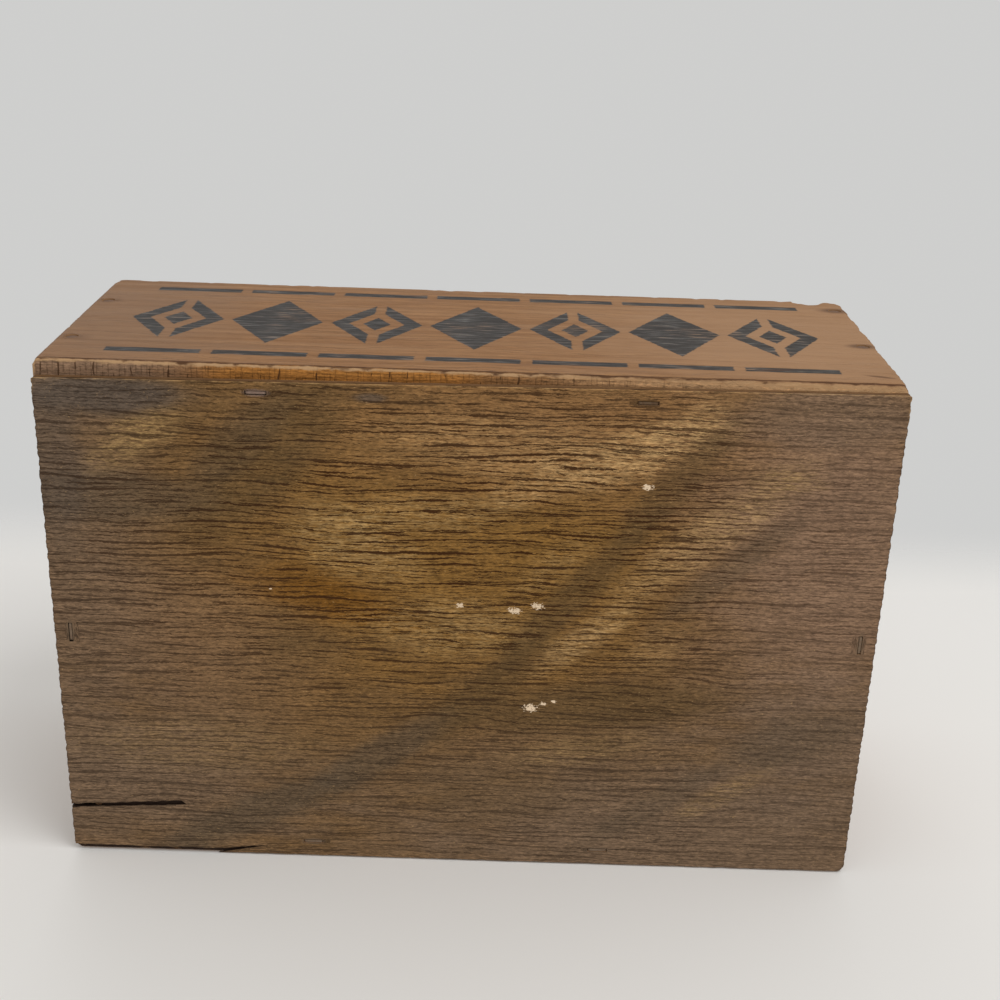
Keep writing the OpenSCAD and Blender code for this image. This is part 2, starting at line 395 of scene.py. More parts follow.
def cutter(name, draw):
    """A hidden object with what draw adds to its mesh, in millimetres."""
    shape = bmesh.new()
    draw(shape)
    bmesh.ops.recalc_face_normals(shape, faces=shape.faces)
    bmesh.ops.scale(shape, vec=(MM, MM, MM), verts=shape.verts)
    mesh = bpy.data.meshes.new(name)
    shape.to_mesh(mesh)
    shape.free()
    return bpy.data.objects.new(name, mesh)


# %% [markdown]
# ## What old wood looks like
#
# Up close, old wood shows slow bands of lighter and darker growth, fine fibres, and dark pores and
# checks drawn out along the grain. Every board of the crate shares that, at its own scale, so it is
# a shader group. It takes the place on the board in millimetres, with x along the grain, so the
# figure has its real size. Stretched noise gives bands and fibres. Stretched Voronoi cells give
# pores, dashes with clean ends. Checks are thin and long, which neither can give: they lie in rows
# that drift with the grain, and a noise of its own opens each row here and there.

# %% The wood figure, as a shader group
def dashes(sheet, place, size):
    """Dark dashes, one in each Voronoi cell, of many sizes up to the given one."""
    cells = sheet.node("ShaderNodeTexVoronoi", {"Vector": place, "Scale": 1.0})
    chance = sheet.split(Wire(sheet, cells.outputs["Color"]))[0]
    reach = size * (0.2 + chance)
    return sheet.ease(Wire(sheet, cells.outputs["Distance"]), reach, reach * 0.4)


def cracks(sheet, x, across, length, gap, width, seed, sway=1.6):
    """Thin cracks along the grain: drifting rows, each open over stretches of its own."""
    drift = sheet.noise(sheet.join(x / (length * 1.5), across / (gap * 5.0), seed)) - 0.5
    row = across / gap + drift * sway
    index = sheet.math("FLOOR", row)
    off = abs(row - index - 0.5) * gap
    opened = sheet.noise(sheet.join(x / length, index * 5.7, seed), 4.0, 0.62)
    reach = width * sheet.ease(opened, 0.44, 0.62) + 0.001
    return sheet.ease(off, reach, reach * 0.5)


def wood_figure_group():
    sheet, given, result = new_tree("wood_figure", "ShaderNodeTree", {
        "Place": "Vector", "Band Length": "Float", "Band Width": "Float", "Fibre Length": "Float",
        "Fibre Width": "Float", "Check Length": "Float", "Check Gap": "Float", "Check Width": "Float",
        "Pore Length": "Float", "Pore Gap": "Float", "Pore Size": "Float", "Wander": "Float",
    }, {"Bands": "Float", "Fibres": "Float", "Checks": "Float", "Pores": "Float"})
    x, y, z = sheet.split(given["Place"])
    drift = sheet.noise(sheet.vector("DIVIDE", given["Place"], (60.0, 16.0, 16.0))) - 0.5
    ripple = sheet.noise(sheet.vector("DIVIDE", given["Place"], (9.0, 3.5, 3.5))) - 0.5
    jag = sheet.noise(sheet.vector("DIVIDE", given["Place"], (1.0, 0.6, 0.6)), 3.0) - 0.5
    sway = given["Wander"] * (drift + ripple * 0.2)
    y = y + sway
    z = z + sway

    def along(long, wide):
        return sheet.join(x / long, y / wide, z / wide)

    bands = sheet.noise(along(given["Band Length"], given["Band Width"]), 5.0, 0.62)
    fibres = sheet.noise(along(given["Fibre Length"], given["Fibre Width"]), 4.0, 0.68)
    across = y + z + jag * 0.8
    length = given["Check Length"]
    gap = given["Check Gap"]
    width = given["Check Width"]
    long_checks = cracks(sheet, x, across, length, gap, width, 3.0)
    checks = cracks(sheet, x, across, length * 0.5, gap * 0.55, width * 0.75, 8.0)
    short_checks = cracks(sheet, x, across, length * 0.2, gap * 0.3, width * 0.45, 13.0) * 0.7
    checks = sheet.math("MAXIMUM", sheet.math("MAXIMUM", long_checks, checks), short_checks)
    length = given["Pore Length"]
    gap = given["Pore Gap"]
    long_pores = dashes(sheet, along(length, gap), given["Pore Size"])
    short_pores = dashes(sheet, along(length * 0.3, gap * 0.62), given["Pore Size"])
    sheet.feed(result.inputs["Bands"], bands)
    sheet.feed(result.inputs["Fibres"], fibres)
    sheet.feed(result.inputs["Checks"], checks)
    sheet.feed(result.inputs["Pores"], sheet.math("MAXIMUM", long_pores, short_pores))
    return sheet.tree


WOOD_FIGURE = wood_figure_group()
print("wood_figure:", len(WOOD_FIGURE.nodes), "nodes")

# %% [markdown]
# Stains, scuffs and rust marks are soft patches at known places, and bare edges are paler where
# hands rubbed them. Both are groups as well: a patch is a stretched, turned circle with a ragged
# border, and edge wear reads the distance that the tree stored.

# %% Patches and edge wear, as shader groups
def soft_patch_group():
    sheet, given, result = new_tree("soft_patch", "ShaderNodeTree", {
        "Place": "Vector", "Centre": "Vector", "Reach": "Vector", "Turn": "Float", "Ragged": "Float",
        "Soft": "Float",
    }, {"Mask": "Float"})
    turned = sheet.wire("ShaderNodeVectorRotate", {
        "Vector": given["Place"], "Center": given["Centre"], "Angle": 0.0 - given["Turn"],
    }, rotation_type="Z_AXIS")
    offset = sheet.vector("DIVIDE", sheet.vector("SUBTRACT", turned, given["Centre"]), given["Reach"])
    distance = sheet.length(offset) + given["Ragged"]
    sheet.feed(result.inputs["Mask"], sheet.ease(distance, 1.0 + given["Soft"], 1.0 - given["Soft"]))
    return sheet.tree


def edge_wear_group():
    sheet, given, result = new_tree("edge_wear", "ShaderNodeTree", {
        "Place": "Vector", "Edge Gap": "Float", "Width": "Float",
    }, {"Mask": "Float"})
    rub = sheet.noise(sheet.vector("DIVIDE", given["Place"], (5.0, 1.6, 1.6)), 5.0, 0.7) - 0.5
    distance = given["Edge Gap"] + given["Width"] * rub * 3.0
    sheet.feed(result.inputs["Mask"], sheet.ease(distance, given["Width"], given["Width"] * 0.1))
    return sheet.tree


SOFT_PATCH = soft_patch_group()
EDGE_WEAR = edge_wear_group()


# %% [markdown]
# ## The boards' finish
#
# The boards are a pale softwood that went tan with age. Their narrow edges keep the marks of the
# saw, fine lines straight across. The base of the finish is the same for all four boards, so one
# function lays it and hands back its wires, and each material adds its own marks on top.

# %% Materials to start from
def srgb(red, green, blue):
    """A screen colour, 0 to 255, as the four linear numbers that a node takes."""
    return (*[((value / 255.0 + 0.055) / 1.055) ** 2.4 for value in (red, green, blue)], 1.0)


def new_material(name):
    """An empty material: itself, its sheet and its Principled shader."""
    material = bpy.data.materials.new(name)
    material.use_nodes = True
    material.node_tree.nodes.clear()
    sheet = Sheet(material.node_tree)
    shader = sheet.node("ShaderNodeBsdfPrincipled")
    output = sheet.node("ShaderNodeOutputMaterial")
    sheet.feed(output.inputs["Surface"], Wire(sheet, shader.outputs["BSDF"]))
    return material, sheet, shader


def read_attributes(sheet):
    """The place along the grain, the distance to an edge and the old-surface flag."""
    grain = sheet.wire("ShaderNodeAttribute", (), "Vector", attribute_name="grain_co")
    edge = sheet.wire("ShaderNodeAttribute", (), "Fac", attribute_name="edge_gap")
    skin = sheet.wire("ShaderNodeAttribute", (), "Fac", attribute_name="skin")
    return grain, edge, skin


DULL_GLOSS = 0.15  # bare wood and the stage hardly shine


def join_finish(sheet, shader, colour, height, roughness):
    """Joins a colour, a height in millimetres and a roughness to the shader."""
    bump = sheet.wire("ShaderNodeBump", {"Strength": 1.0, "Distance": MM, "Height": height})
    sheet.feed(shader.inputs["Base Color"], colour)
    sheet.feed(shader.inputs["Roughness"], roughness)
    sheet.feed(shader.inputs["Normal"], bump)


def finish_wood(sheet, shader, colour, height, roughness):
    """The same for bare wood, which is dull."""
    join_finish(sheet, shader, colour, height, roughness)
    shader.inputs["Specular IOR Level"].default_value = DULL_GLOSS


ANY_DEPTH = 900.0  # a patch reaches right through the wood


def part_place(sheet):
    """The place in the crate's own frame, in millimetres."""
    return sheet.scale(sheet.wire("ShaderNodeTexCoord", (), "Object"), 1.0 / MM)


def lay_patches(sheet, colour, place, ragged, patches, soft=0.6, veil=1.0):
    """Lays soft patches over a colour: each has a tone, a strength, a place, a reach and a turn."""
    for tone, strength, (x, y), (long, wide), turn in patches:
        mask = sheet.group(SOFT_PATCH, {
            "Place": place, "Centre": (x, y, 0.0), "Reach": (long, wide, ANY_DEPTH),
            "Turn": math.radians(turn), "Ragged": ragged, "Soft": soft})["Mask"]
        colour = sheet.mix(mask * strength * veil, colour, tone)
    return colour


# %% The base of the boards
BOARD_PALE = srgb(153, 112, 73)
BOARD_TAN = srgb(137, 97, 62)
BOARD_GREY = srgb(130, 101, 78)
BOARD_PORE = srgb(106, 74, 48)
SAWN_BROWN = srgb(132, 95, 62)
SAW_LINE = srgb(70, 44, 24)
# Pale tan for rubbed edges and torn fibres, and for the painted highlight on the front board's lower lip
RUBBED_AND_HIGHLIGHT_TAN = srgb(188, 150, 110)
# Broken wood at cut faces, drawn lighter as painted light against the shade in the nail pockets
BROKEN_AND_LIT_WOOD = srgb(166, 126, 88)
# Crushed wood in the staple slots, drawn lighter as painted light against the shade in them
CRUSHED_AND_LIT_WOOD = srgb(160, 124, 92)
OLD_DARK = srgb(44, 30, 22)
END_BROWN = srgb(128, 94, 64)
BOARD_EDGE = 47.5  # half the height of a board, in millimetres
BOARD_END = 127.0  # half the length of a long board
PITH = (26.0, -70.0)  # the middle of the growth rings, off the board


def lay_board(sheet):
    """The bare board: its colour, height and roughness, and the wires that its marks read."""
    grain, edge, skin = read_attributes(sheet)
    figure = sheet.group(WOOD_FIGURE, {
        "Place": grain, "Band Length": 90.0, "Band Width": 3.0, "Fibre Length": 7.0,
        "Fibre Width": 0.6, "Check Length": 30.0, "Check Gap": 9.0, "Check Width": 0.3,
        "Pore Length": 14.0, "Pore Gap": 1.3, "Pore Size": 0.16, "Wander": 4.0})
    grime = sheet.noise(sheet.vector("DIVIDE", grain, (60.0, 9.0, 9.0)), 5.0, 0.65)
    colour = sheet.mix(sheet.ease(figure["Bands"], 0.34, 0.66), BOARD_TAN, BOARD_PALE)
    colour = sheet.mix(sheet.ease(grime, 0.48, 0.7) * 0.4, colour, BOARD_GREY)
    colour = sheet.scale(colour, 1.0 + (figure["Fibres"] - 0.5) * 0.95)
    marks = sheet.math("MAXIMUM", figure["Pores"] * 0.5, figure["Checks"] * 0.6)
    colour = sheet.mix(marks, colour, BOARD_PORE)

    x, y, z = sheet.split(grain)
    sawn = sheet.ease(abs(z), BOARD_EDGE - 0.8, BOARD_EDGE - 0.3)
    colour = sheet.mix(sawn, colour, SAWN_BROWN)
    rings = sheet.length(sheet.join(0.0, y - PITH[0], z - PITH[1]))
    rings = sheet.noise(sheet.join(rings / 1.2, z / 60.0, 0.0), 3.0, 0.6)
    pits = sheet.noise(sheet.vector("DIVIDE", grain, (4.0, 0.4, 0.4)), 3.0, 0.7)
    end = sheet.ease(abs(x), BOARD_END - 2.4, BOARD_END - 1.4)
    colour = sheet.mix(end, colour, sheet.scale(END_BROWN[:3], 0.2 + rings * 0.9 + pits * 0.7))
    worn = sheet.group(EDGE_WEAR, {"Place": grain, "Edge Gap": edge, "Width": 0.9})["Mask"]
    height = 0.06 * figure["Fibres"] - 0.12 * marks
    roughness = sheet.ease(figure["Bands"], 0.2, 0.8, 0.86, 0.72)
    wires = {"grain": grain, "edge": edge, "skin": skin, "figure": figure, "grime": grime,
             "sawn": sawn, "worn": worn}
    return colour, height, roughness, wires


def saw_lines(sheet, grain):
    """Dark lines that the saw left straight across a narrow edge."""
    x, y, z = sheet.split(grain)
    deep = cracks(sheet, y, x, 6.0, 5.3, 0.36, 21.0, 0.5)
    fine = cracks(sheet, y, x, 4.0, 1.6, 0.24, 34.0, 0.5)
    return sheet.math("MAXIMUM", deep, fine * 0.5)


def sawn_texture(sheet, grain):
    """Streaks along a sawn edge and the fuzz of its torn fibres, as a factor for its colour."""
    x, y, z = sheet.split(grain)
    streaks = sheet.noise(sheet.join(x / 14.0, y / 0.5, 0.0), 3.0)
    fuzz = sheet.noise(sheet.join(x / 1.7, y / 0.5, 2.0), 4.0, 0.7)
    strength = sheet.ease(x, 0.0, 60.0, 1.1, 1.6)
    return 1.0 + ((streaks - 0.5) * 1.8 + (fuzz - 0.5) * 2.4) * strength


# %% [markdown]
# ## The printed front board
#
# The front carries a stencil in thin blue-black ink that has worn a little along the grain: two
# broken rules with a row of lozenges between them, solid and open in turn. It could be a picture
# laid on the board, but this one is drawn by rule: the shapes are distances in the board's
# own millimetres, so the ink stays sharp at any size. Ink sits on the high fibres and is thin over
# the pores, so the same figure that colours the wood also wears the print.

# %% The stencil
RULE_HEIGHT = 36.0
RULE_HALF_WIDTH = 2.1
BRIDGE_HALF_WIDTH = 1.7  # the strips that hold a stencil together leave gaps in the ink
LOZENGE = (14.5, 25.0)
LOZENGE_PITCH = 31.5
LOZENGES_ASIDE = 3  # on either side of the middle one
OPEN_RING = 0.6  # where the ring of an open lozenge ends, as a share of its size
OPEN_MIDDLE = 0.3


def stencil(sheet, x, z):
    """Where the print was laid: 1 on the ink and 0 off it, from places in millimetres."""

    def inside(value, limit, soft=0.3):
        return sheet.ease(value, limit + soft, limit - soft)

    half_row = LOZENGE_PITCH * (LOZENGES_ASIDE + 0.5)
    in_row = inside(abs(x), half_row - 1.0)
    number = sheet.math("FLOOR", x / LOZENGE_PITCH + 0.5)
    across = abs(x - number * LOZENGE_PITCH)
    bridge = inside(across, BRIDGE_HALF_WIDTH)
    ring = across / LOZENGE[0] + abs(z) / LOZENGE[1]
    bare = inside(ring, OPEN_RING, 0.02) * (1.0 - inside(ring, OPEN_MIDDLE, 0.02))
    bare = sheet.math("MAXIMUM", bare, bridge * (1.0 - inside(ring, OPEN_MIDDLE, 0.02)))
    is_open = sheet.math("FLOORED_MODULO", number, 2.0)
    lozenges = inside(ring, 1.0, 0.02) * (1.0 - bare * is_open)
    seam = inside(abs(across - LOZENGE_PITCH / 2), BRIDGE_HALF_WIDTH)
    rules = inside(abs(abs(z) - RULE_HEIGHT), RULE_HALF_WIDTH) * (1.0 - seam)
    return sheet.math("MAXIMUM", rules, lozenges) * in_row


# %% The printed board's material
INK = srgb(42, 46, 48)
INK_FADED = srgb(116, 118, 117)
FACE_PALE = srgb(162, 126, 94)
NAIL_STAIN = srgb(92, 66, 50)
SAWN_ORANGE = srgb(164, 109, 50)
SAWN_GREY = srgb(140, 112, 89)
SAWN_DULL = srgb(136, 98, 62)
SAWN_PALE = srgb(186, 144, 102)
DARK_LINE_BROWN = srgb(86, 57, 38)
PRINTED_FACE = -5.5  # the outer face of a board, in its own millimetres
PANEL = 3.0  # the plywood's thickness, so the height of the boards' lower edge in the crate
EDGE_REACH = 1.1  # how far up the face the tones of the lower edge go
LIP_TOP = 7.5  # above the lower edge: from here on up, the face wears as any face does
LIP_LOW = 3.5  # from here down, the rounded lip gets a painted highlight
NAILS = [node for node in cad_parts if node.startswith("nail_")]
STAPLES = [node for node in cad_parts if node.startswith("staple_")]


def nail_marks(side):
    """A rusty smear along the grain at each nail head on one long side, as soft patches."""
    marks = []
    for node in NAILS:
        if side in node:
            low, high = mm_box(node)
            middle = (low + high) / 2
            strength = 0.75 if middle.x > 0 else 0.35
            marks.append((NAIL_STAIN, strength, (middle.x, middle.z), (4.6, 2.6), 0.0))
    return marks


def seen_from_front(sheet):
    """The place in the crate's frame with x along the crate and y up, as on a front view."""
    x, y, z = sheet.split(part_place(sheet))
    return sheet.join(x, z, y)


printed_board, sheet, shader = new_material("printed_board")
colour, height, roughness, wires = lay_board(sheet)
grain = wires["grain"]
x, y, z = sheet.split(grain)
blotch = sheet.noise(sheet.vector("DIVIDE", grain, (24.0, 13.0, 13.0)), 4.0, 0.6)
ragged = (blotch - 0.5) * 1.2

face_tones = [
    (BOARD_GREY, 0.6, (-116.0, 50.0), (34.0, 60.0), 0.0),
    (FACE_PALE, 0.8, (104.0, 50.0), (56.0, 60.0), 0.0),
]
scratches = [
    (DARK_LINE_BROWN, 0.7, (119.8, 11.0), (3.8, 0.8), -16.0),
    (DARK_LINE_BROWN, 0.55, (89.3, 14.5), (5.5, 1.0), 10.0),
]
lower_edge = [
    (SAWN_GREY, 0.8, (-112.0, PANEL), (34.0, EDGE_REACH), 0.0),
    (SAWN_ORANGE, 0.9, (-32.0, PANEL), (50.0, EDGE_REACH), 0.0),
    (SAWN_DULL, 0.85, (24.0, PANEL), (24.0, EDGE_REACH), 0.0),
    (SAWN_PALE, 0.9, (92.0, PANEL), (56.0, EDGE_REACH), 0.0),
]
front_view = seen_from_front(sheet)
colour = lay_patches(sheet, colour, front_view, ragged, face_tones, 0.8)
colour = lay_patches(sheet, colour, front_view, ragged, lower_edge, 0.4)
colour = sheet.mix(wires["sawn"], colour, sheet.scale(colour, sawn_texture(sheet, grain)))
cuts = saw_lines(sheet, grain) * wires["sawn"] * sheet.ease(x, 90.0, 10.0, 0.25, 1.0)
colour = sheet.mix(cuts * 0.85, colour, SAW_LINE)

shake_x = (sheet.noise(sheet.vector("DIVIDE", grain, (1.8, 0.7, 0.7)), 3.0) - 0.5) * 1.3
shake_z = (sheet.noise(sheet.vector("DIVIDE", grain, (6.0, 3.0, 3.0)), 2.0) - 0.5) * 0.9
on_face = sheet.ease(y, PRINTED_FACE + 1.0, PRINTED_FACE + 0.6)
mask = stencil(sheet, x + shake_x, z + shake_z) * on_face
thin = sheet.noise(sheet.vector("DIVIDE", grain, (11.0, 0.9, 0.9)), 4.0, 0.6)
left = sheet.ease(thin + (blotch - 0.5) * 0.5, 0.82, 0.55) * (1.0 - wires["figure"]["Pores"] * 0.3)
ink_colour = sheet.mix(sheet.ease(thin, 0.47, 0.74), INK, INK_FADED)
colour = sheet.mix(mask * left * 0.93, colour, ink_colour)

above = z + BOARD_EDGE  # height above the board's lower edge
colour = sheet.mix(wires["worn"] * sheet.ease(above, LIP_LOW, LIP_TOP) * 0.75, colour, RUBBED_AND_HIGHLIGHT_TAN)
# The rounded lower lip of the front board: a pale painted highlight, strongest towards the left end
lip = sheet.group(EDGE_WEAR, {"Place": grain, "Edge Gap": wires["edge"], "Width": 1.15})["Mask"]
lip = lip * sheet.ease(above, LIP_TOP, LIP_LOW) * sheet.ease(x, 70.0, 10.0, 0.4, 1.0)
colour = sheet.mix(lip, colour, RUBBED_AND_HIGHLIGHT_TAN)
fuzz = sheet.noise(sheet.vector("DIVIDE", grain, (2.6, 0.55, 0.55)), 4.0, 0.7)
torn = sheet.ease(above + shake_z, 1.5, 0.8) * sheet.ease(y, -1.4, -2.4) * sheet.ease(fuzz, 0.36, 0.56)
torn = torn * sheet.ease(x, 10.0, 100.0, 0.0, 0.9)
colour = sheet.mix(torn, colour, sheet.scale(RUBBED_AND_HIGHLIGHT_TAN[:3], fuzz * 1.6))
# A thin dark line on the lower lip, 1 to 2 millimetres above the edge and a little higher towards the
# right end
low_line = abs(above - sheet.ease(x, 40.0, 110.0, 1.1, 1.8) + shake_z * 0.5 + shake_x * 0.4)
line = sheet.ease(low_line, 0.55, 0.15) * sheet.ease(thin, 0.3, 0.5, 0.4, 0.95)
colour = sheet.mix(line * sheet.ease(y, -3.6, -4.4), colour, DARK_LINE_BROWN)
colour = lay_patches(sheet, colour, front_view, ragged, nail_marks("front") + scratches)
splinters = sheet.noise(sheet.vector("DIVIDE", grain, (5.0, 0.35, 0.35)), 4.0, 0.6)
# Cut faces in the nail pockets and the chip: broken wood, drawn lighter as painted light against the
# shade in them
broken_and_lit = sheet.scale(BROKEN_AND_LIT_WOOD[:3], 0.15 + splinters * 1.7)
colour = sheet.mix(wires["skin"], broken_and_lit, colour)
finish_wood(sheet, shader, colour, height - 0.1 * cuts, roughness)
print("printed_board:", len(sheet.tree.nodes), "nodes")

# %% The plain boards' material
PLAIN_TONES = [
    (BOARD_GREY, 0.55, (-70.0, 10.0), (46.0, 60.0), 0.0),
    (FACE_PALE, 0.5, (30.0, 6.0), (50.0, 30.0), 0.0),
    (BOARD_GREY, 0.6, (110.0, -10.0), (34.0, 60.0), 0.0),
    (NAIL_STAIN, 0.3, (0.0, -50.0), (150.0, 14.0), 0.0),
]
plain_board, sheet, shader = new_material("plain_board")
colour, height, roughness, wires = lay_board(sheet)
x, y, z = sheet.split(wires["grain"])
ragged = (wires["grime"] - 0.5) * 1.6
colour = lay_patches(sheet, colour, sheet.join(x, z, y), ragged, PLAIN_TONES, 0.8)
texture = sawn_texture(sheet, wires["grain"])
colour = sheet.mix(wires["sawn"], colour, sheet.scale(colour, texture))
cuts = saw_lines(sheet, wires["grain"]) * wires["sawn"]
colour = sheet.mix(cuts * 0.7, colour, SAW_LINE)
colour = sheet.mix(wires["worn"] * 0.55, colour, RUBBED_AND_HIGHLIGHT_TAN)
colour = lay_patches(sheet, colour, seen_from_front(sheet), ragged, nail_marks("back"))
# Cut faces in the nail pockets: broken wood, drawn lighter as painted light against their shade
colour = sheet.mix(wires["skin"], BROKEN_AND_LIT_WOOD, colour)
finish_wood(sheet, shader, colour, height - 0.1 * cuts, roughness)
print("plain_board:", len(sheet.tree.nodes), "nodes")

# %% [markdown]
# ## The weathered bottom
#
# The underside of the plywood is the most worn surface of the crate: brown, with long dark checks,
# damp stains along the edges, pale scuffs in the middle, two dark bands that cross the grain, and a
# few flecks of old paint. The bands and stains are soft patches at the places where the photograph
# has them, and the checks and fibres come from the wood figure at a coarser setting.

# %% The stains on the bottom
PLATE_BROWN = srgb(124, 93, 58)
GOLDEN = srgb(141, 102, 49)
WARM_TAN = srgb(150, 110, 70)
ROSE_BROWN = srgb(146, 116, 93)
LOW_GREY = srgb(128, 105, 85)
DAMP_GREY = srgb(100, 86, 74)
ORANGE_BROWN = srgb(126, 82, 23)
SCUFF_OLIVE = srgb(183, 147, 95)
BRIGHT_TAN = srgb(212, 171, 116)
BAND_OLIVE = srgb(100, 77, 47)
BAND_GREY = srgb(96, 80, 62)
CRACK_BROWN = srgb(60, 30, 3)
CRACK_GREY = srgb(50, 34, 21)
DARK_EDGE_BROWN = srgb(70, 52, 38)
PAINT_CREAM = srgb(250, 222, 188)

ZONES = [  # broad and soft: tone, strength, middle, reach along and across, turn
    (GOLDEN, 0.9, (1.0, -30.0), (80.0, 46.0), -8.0),
    (WARM_TAN, 0.75, (32.5, -68.0), (66.0, 20.0), 0.0),
    (ROSE_BROWN, 0.85, (112.0, -30.0), (40.0, 54.0), 0.0),
    (ROSE_BROWN, 0.35, (-90.5, 4.0), (38.0, 26.0), 10.0),
    (LOW_GREY, 0.75, (74.5, 74.0), (94.0, 34.0), 0.0),
    (LOW_GREY, 0.7, (-112.5, 58.0), (52.0, 26.0), 0.0),
    (LOW_GREY, 0.6, (-124.5, -30.0), (26.0, 70.0), 0.0),
    (LOW_GREY, 0.6, (116.0, 36.0), (34.0, 24.0), 0.0),
    (ORANGE_BROWN, 0.8, (-41.0, -11.0), (25.0, 7.0), 18.0),
    (BAND_OLIVE, 0.45, (-51.0, 5.0), (12.0, 6.0), 0.0),
]
SCUFFS = [  # pale, and broken into streaks
    (SCUFF_OLIVE, 0.8, (-35.0, -30.0), (19.0, 10.0), 24.0),
    (SCUFF_OLIVE, 0.6, (-13.0, -40.0), (26.0, 6.0), -4.0),
    (BRIGHT_TAN, 0.75, (44.5, -59.0), (31.0, 7.5), -18.0),
    (BRIGHT_TAN, 0.5, (62.5, -69.0), (14.0, 5.0), -35.0),
    (BRIGHT_TAN, 0.35, (9.0, -62.0), (36.0, 9.0), 0.0),
    (SCUFF_OLIVE, 0.8, (-96.5, -62.0), (16.0, 6.0), -32.0),
    (SCUFF_OLIVE, 0.65, (-5.0, -2.0), (26.0, 9.0), 0.0),
    (SCUFF_OLIVE, 0.4, (26.5, -24.0), (14.0, 5.0), -40.0),
    (BRIGHT_TAN, 0.7, (36.5, 0.0), (17.0, 4.4), -38.0),
    (BRIGHT_TAN, 0.5, (70.5, -34.0), (32.0, 6.5), -40.0),
    (BRIGHT_TAN, 0.25, (58.5, 4.0), (9.0, 6.0), -40.0),
    (SCUFF_OLIVE, 0.5, (92.5, -54.0), (10.0, 4.0), 0.0),
    (SCUFF_OLIVE, 0.4, (36.5, 40.0), (20.0, 5.0), -10.0),
    (SCUFF_OLIVE, 0.4, (83.5, 55.0), (17.0, 3.5), -33.0),
    (SCUFF_OLIVE, 0.3, (-84.5, 42.0), (34.0, 9.0), 0.0),
]
BANDS = [  # darker: bands across the grain, and damp or grey places
    (BAND_OLIVE, 0.55, (60.5, -51.0), (24.0, 5.5), -50.0),
    (BAND_OLIVE, 0.6, (32.5, -14.0), (34.0, 5.5), -50.0),
    (BAND_OLIVE, 0.55, (5.0, 21.0), (24.0, 6.5), -44.0),
    (BAND_GREY, 0.6, (-27.0, 45.0), (26.0, 6.0), -36.0),
    (BAND_GREY, 0.65, (-66.5, 67.0), (34.0, 6.5), -26.0),
    (BAND_OLIVE, 0.6, (42.0, 24.0), (40.0, 8.0), -6.0),
    (BAND_OLIVE, 0.3, (9.0, 57.0), (26.0, 11.0), 0.0),
    (BAND_GREY, 0.4, (78.5, -24.0), (26.0, 4.5), -42.0),
    (BAND_GREY, 0.4, (60.5, 61.0), (26.0, 4.5), -36.0),
    (BAND_GREY, 0.4, (104.0, 34.0), (24.0, 8.0), -20.0),
    (BAND_OLIVE, 0.6, (-61.5, -55.0), (33.0, 12.0), -47.0),
    (BAND_GREY, 0.3, (-68.5, -60.0), (22.0, 7.0), -46.0),
    (BAND_GREY, 0.55, (-104.5, -42.0), (28.0, 8.0), 0.0),
    (DAMP_GREY, 0.9, (-106.5, -74.0), (24.0, 6.0), 0.0),
    (DAMP_GREY, 0.5, (-122.5, -52.0), (9.0, 26.0), 0.0),
    (LOW_GREY, 0.5, (104.0, -74.0), (26.0, 9.0), 0.0),
    (DAMP_GREY, 0.7, (-29.0, -75.5), (5.0, 1.5), 0.0),
]
FLECKS = [
    (-1.9, -10.0, 1.0), (15.0, -8.7, 1.6), (21.8, -10.4, 1.5), (52.7, -50.6, 1.3),
    (21.0, 25.2, 1.8), (25.0, 23.6, 0.9), (28.2, 22.6, 0.7), (-59.4, -13.5, 0.4),
]
WIRE_PINK = srgb(150, 124, 110)
WIRE_BROWN = srgb(92, 66, 36)
WIRE_BEIGE = srgb(126, 104, 82)
STAPLE_TONES = {"staple_front_left": WIRE_PINK, "staple_front_right": WIRE_BROWN}


def staple_patches(strength, long, wide):
    """A soft patch at each staple, in the tone that it has in the photograph."""
    patches = []
    for node in STAPLES:
        low, high = mm_box(node)
        middle = (low + high) / 2
        turn = 90.0 if high.y - low.y > high.x - low.x else 0.0
        tone = STAPLE_TONES.get(node, WIRE_BEIGE)
        patches.append((tone, strength, (middle.x, middle.y), (long, wide), turn))
    return patches


STAPLE_MARKS = staple_patches(0.7, 3.7, 1.1)
print(len(ZONES) + len(SCUFFS) + len(BANDS), "stains and", len(FLECKS), "flecks on the bottom")

# %% The weathered veneer's material
weathered_veneer, sheet, shader = new_material("weathered_veneer")
grain, edge, skin = read_attributes(sheet)
place = part_place(sheet)
figure = sheet.group(WOOD_FIGURE, {
    "Place": grain, "Band Length": 30.0, "Band Width": 2.6, "Fibre Length": 1.8, "Fibre Width": 0.5,
    "Check Length": 34.0, "Check Gap": 3.4, "Check Width": 0.45, "Pore Length": 14.0,
    "Pore Gap": 0.9, "Pore Size": 0.2, "Wander": 2.4})
border = sheet.noise(sheet.vector("DIVIDE", place, (24.0, 9.0, 9.0)), 5.0, 0.62)
ragged = (border - 0.5) * 1.5
colour = lay_patches(sheet, PLATE_BROWN, place, ragged, ZONES, 0.75)
rubbed = sheet.noise(sheet.vector("DIVIDE", grain, (3.4, 0.55, 0.55)), 5.0, 0.68)
veil = sheet.ease(rubbed, 0.36, 0.66)
colour = lay_patches(sheet, colour, place, ragged, SCUFFS, 0.5, veil)
colour = lay_patches(sheet, colour, place, ragged * 0.6, BANDS, 0.4)
colour = sheet.scale(colour, 1.0 + (figure["Bands"] - 0.5) * 0.9)
colour = sheet.scale(colour, 1.0 + (figure["Fibres"] - 0.5) * 2.6)
dust = sheet.noise(sheet.vector("DIVIDE", grain, (0.8, 0.45, 0.45)), 2.0)
colour = sheet.mix(sheet.ease(dust, 0.64, 0.76) * 0.4, colour, BRIGHT_TAN)
